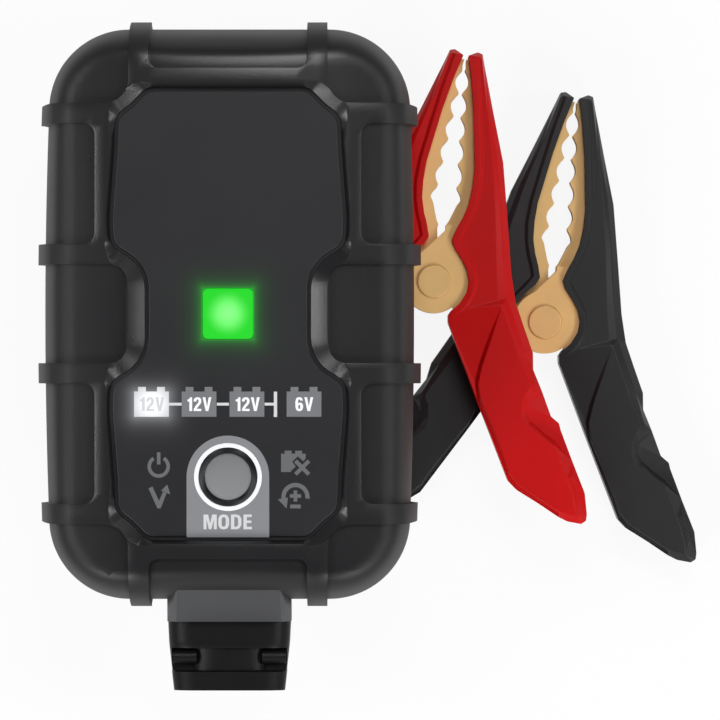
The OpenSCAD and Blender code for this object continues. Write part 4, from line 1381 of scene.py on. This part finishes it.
class CHARGER_OT_stage(bpy.types.Operator):
    """Sets the floor, the lamps and the camera"""

    bl_idname = "charger.stage"
    bl_label = "Studio"

    def execute(self, context):
        stage = context.scene.charger_stage
        self.floor()
        self.world(context.scene)
        self.lamp("top_lamp", (0.08, 0.33, 0.84), 0.30, stage.key * 0.9)
        for name, side, power in (("left", -1, 0.8), ("right", 1, 0.6)):
            self.lamp(name + "_lamp", (side * 0.60, 0.02, 0.68), 0.24, stage.key * power)
            self.lamp(name + "_low_lamp", (side * 0.42, -0.60, 0.60), 0.34, stage.key * 1.3)
        self.camera(context.scene, stage)
        return {"FINISHED"}

    def floor(self):
        mesh = bmesh.new()
        bmesh.ops.create_grid(mesh, x_segments=1, y_segments=1, size=3.0)
        data = bpy.data.meshes.new("floor")
        mesh.to_mesh(data)
        mesh.free()
        floor = placed("floor", data)
        f = Finish("pale_floor")
        grain = f.noise(f.place(), 0.02, 2)
        f.set(Roughness=0.9, Specular_IOR_Level=0.1)
        f.set(Base_Color=f.mix(grain, (0.86, 0.86, 0.86), (0.88, 0.88, 0.88)))
        white = f.nodes.new("ShaderNodeEmission")
        white.inputs[0].default_value = (1, 1, 1, 1)
        camera, glossy, glass = (f.node("ShaderNodeLightPath", output=i) for i in (0, 3, 6))
        blend = f.nodes.new("ShaderNodeMixShader")
        f.feed(blend.inputs[0], (camera + glossy + glass).at_most(1) * 0.9)
        f.links.new(f.shader.outputs[0], blend.inputs[1])
        f.links.new(white.outputs[0], blend.inputs[2])
        f.links.new(blend.outputs[0], f.end.inputs[0])
        floor.data.materials.append(f.material)

    def world(self, scene):
        world = bpy.data.worlds.new("studio")
        world.use_nodes = True
        nodes, links = world.node_tree.nodes, world.node_tree.links
        soft = nodes["Background"]
        where = nodes.new("ShaderNodeTexCoord")
        height = nodes.new("ShaderNodeSeparateXYZ")
        band = nodes.new("ShaderNodeMapRange")
        band.interpolation_type = "SMOOTHSTEP"
        for socket, value in (("From Min", 0.1), ("From Max", 0.5), ("To Min", 0.7), ("To Max", 0.1)):
            band.inputs[socket].default_value = value
        links.new(where.outputs["Generated"], height.inputs[0])
        links.new(height.outputs[2], band.inputs["Value"])
        links.new(band.outputs[0], soft.inputs[1])
        soft.inputs[0].default_value = (1, 1, 1, 1)
        scene.world = world

    def lamp(self, name, place, size, power):
        data = bpy.data.lights.new(name, "AREA")
        data.shape = "DISK"
        data.size = size
        data.energy = power
        lamp = placed(name, data)
        lamp.location = Vector(place)
        lamp.rotation_euler = (Vector((0, 0, 0.03)) - Vector(place)).to_track_quat("-Z", "Y").to_euler()

    def camera(self, scene, stage):
        data = bpy.data.cameras.new("camera")
        data.sensor_width = 36
        width = stage.image / stage.scale * MM
        data.lens = data.sensor_width * stage.distance / width
        data.clip_start = 0.05
        camera = placed("camera", data)
        off_x = (stage.image / 2 - stage.light_x) / stage.scale * MM
        off_y = (stage.light_y - stage.image / 2) / stage.scale * MM
        camera.location = (LIGHT_AT.x + off_x, LIGHT_AT.y + off_y, PANEL_Z + stage.distance)
        scene.camera = camera
        scene.view_settings.view_transform = "Standard"


OPERATORS = (
    CHARGER_OT_housing, CHARGER_OT_panel, CHARGER_OT_print, CHARGER_OT_lights, CHARGER_OT_outlet, CHARGER_OT_plug,
    CHARGER_OT_inside, CHARGER_OT_clamps, CHARGER_OT_stage,
)


class CHARGER_PT_sidebar(bpy.types.Panel):
    """Lists the charger's pieces in the sidebar"""

    bl_label = "Battery charger"
    bl_space_type = "VIEW_3D"
    bl_region_type = "UI"
    bl_category = "Charger"

    def draw(self, context):
        for operator in OPERATORS:
            self.layout.operator(operator.bl_idname)


def register():
    for cls in (*SETTINGS, *OPERATORS, CHARGER_PT_sidebar):
        bpy.utils.register_class(cls)
    bpy.types.Scene.charger_housing = PointerProperty(type=ChargerHousing)
    bpy.types.Scene.charger_panel = PointerProperty(type=ChargerPanel)
    bpy.types.Scene.charger_clamps = PointerProperty(type=ChargerClamps)
    bpy.types.Scene.charger_finish = PointerProperty(type=ChargerFinish)
    bpy.types.Scene.charger_stage = PointerProperty(type=ChargerStage)


def unregister():
    for name in ("charger_stage", "charger_finish", "charger_clamps", "charger_panel", "charger_housing"):
        delattr(bpy.types.Scene, name)
    for cls in reversed((*SETTINGS, *OPERATORS, CHARGER_PT_sidebar)):
        bpy.utils.unregister_class(cls)


def main():
    register()
    for operator in OPERATORS:
        group, name = operator.bl_idname.split(".")
        getattr(getattr(bpy.ops, group), name)()


if __name__ == "__main__":
    main()
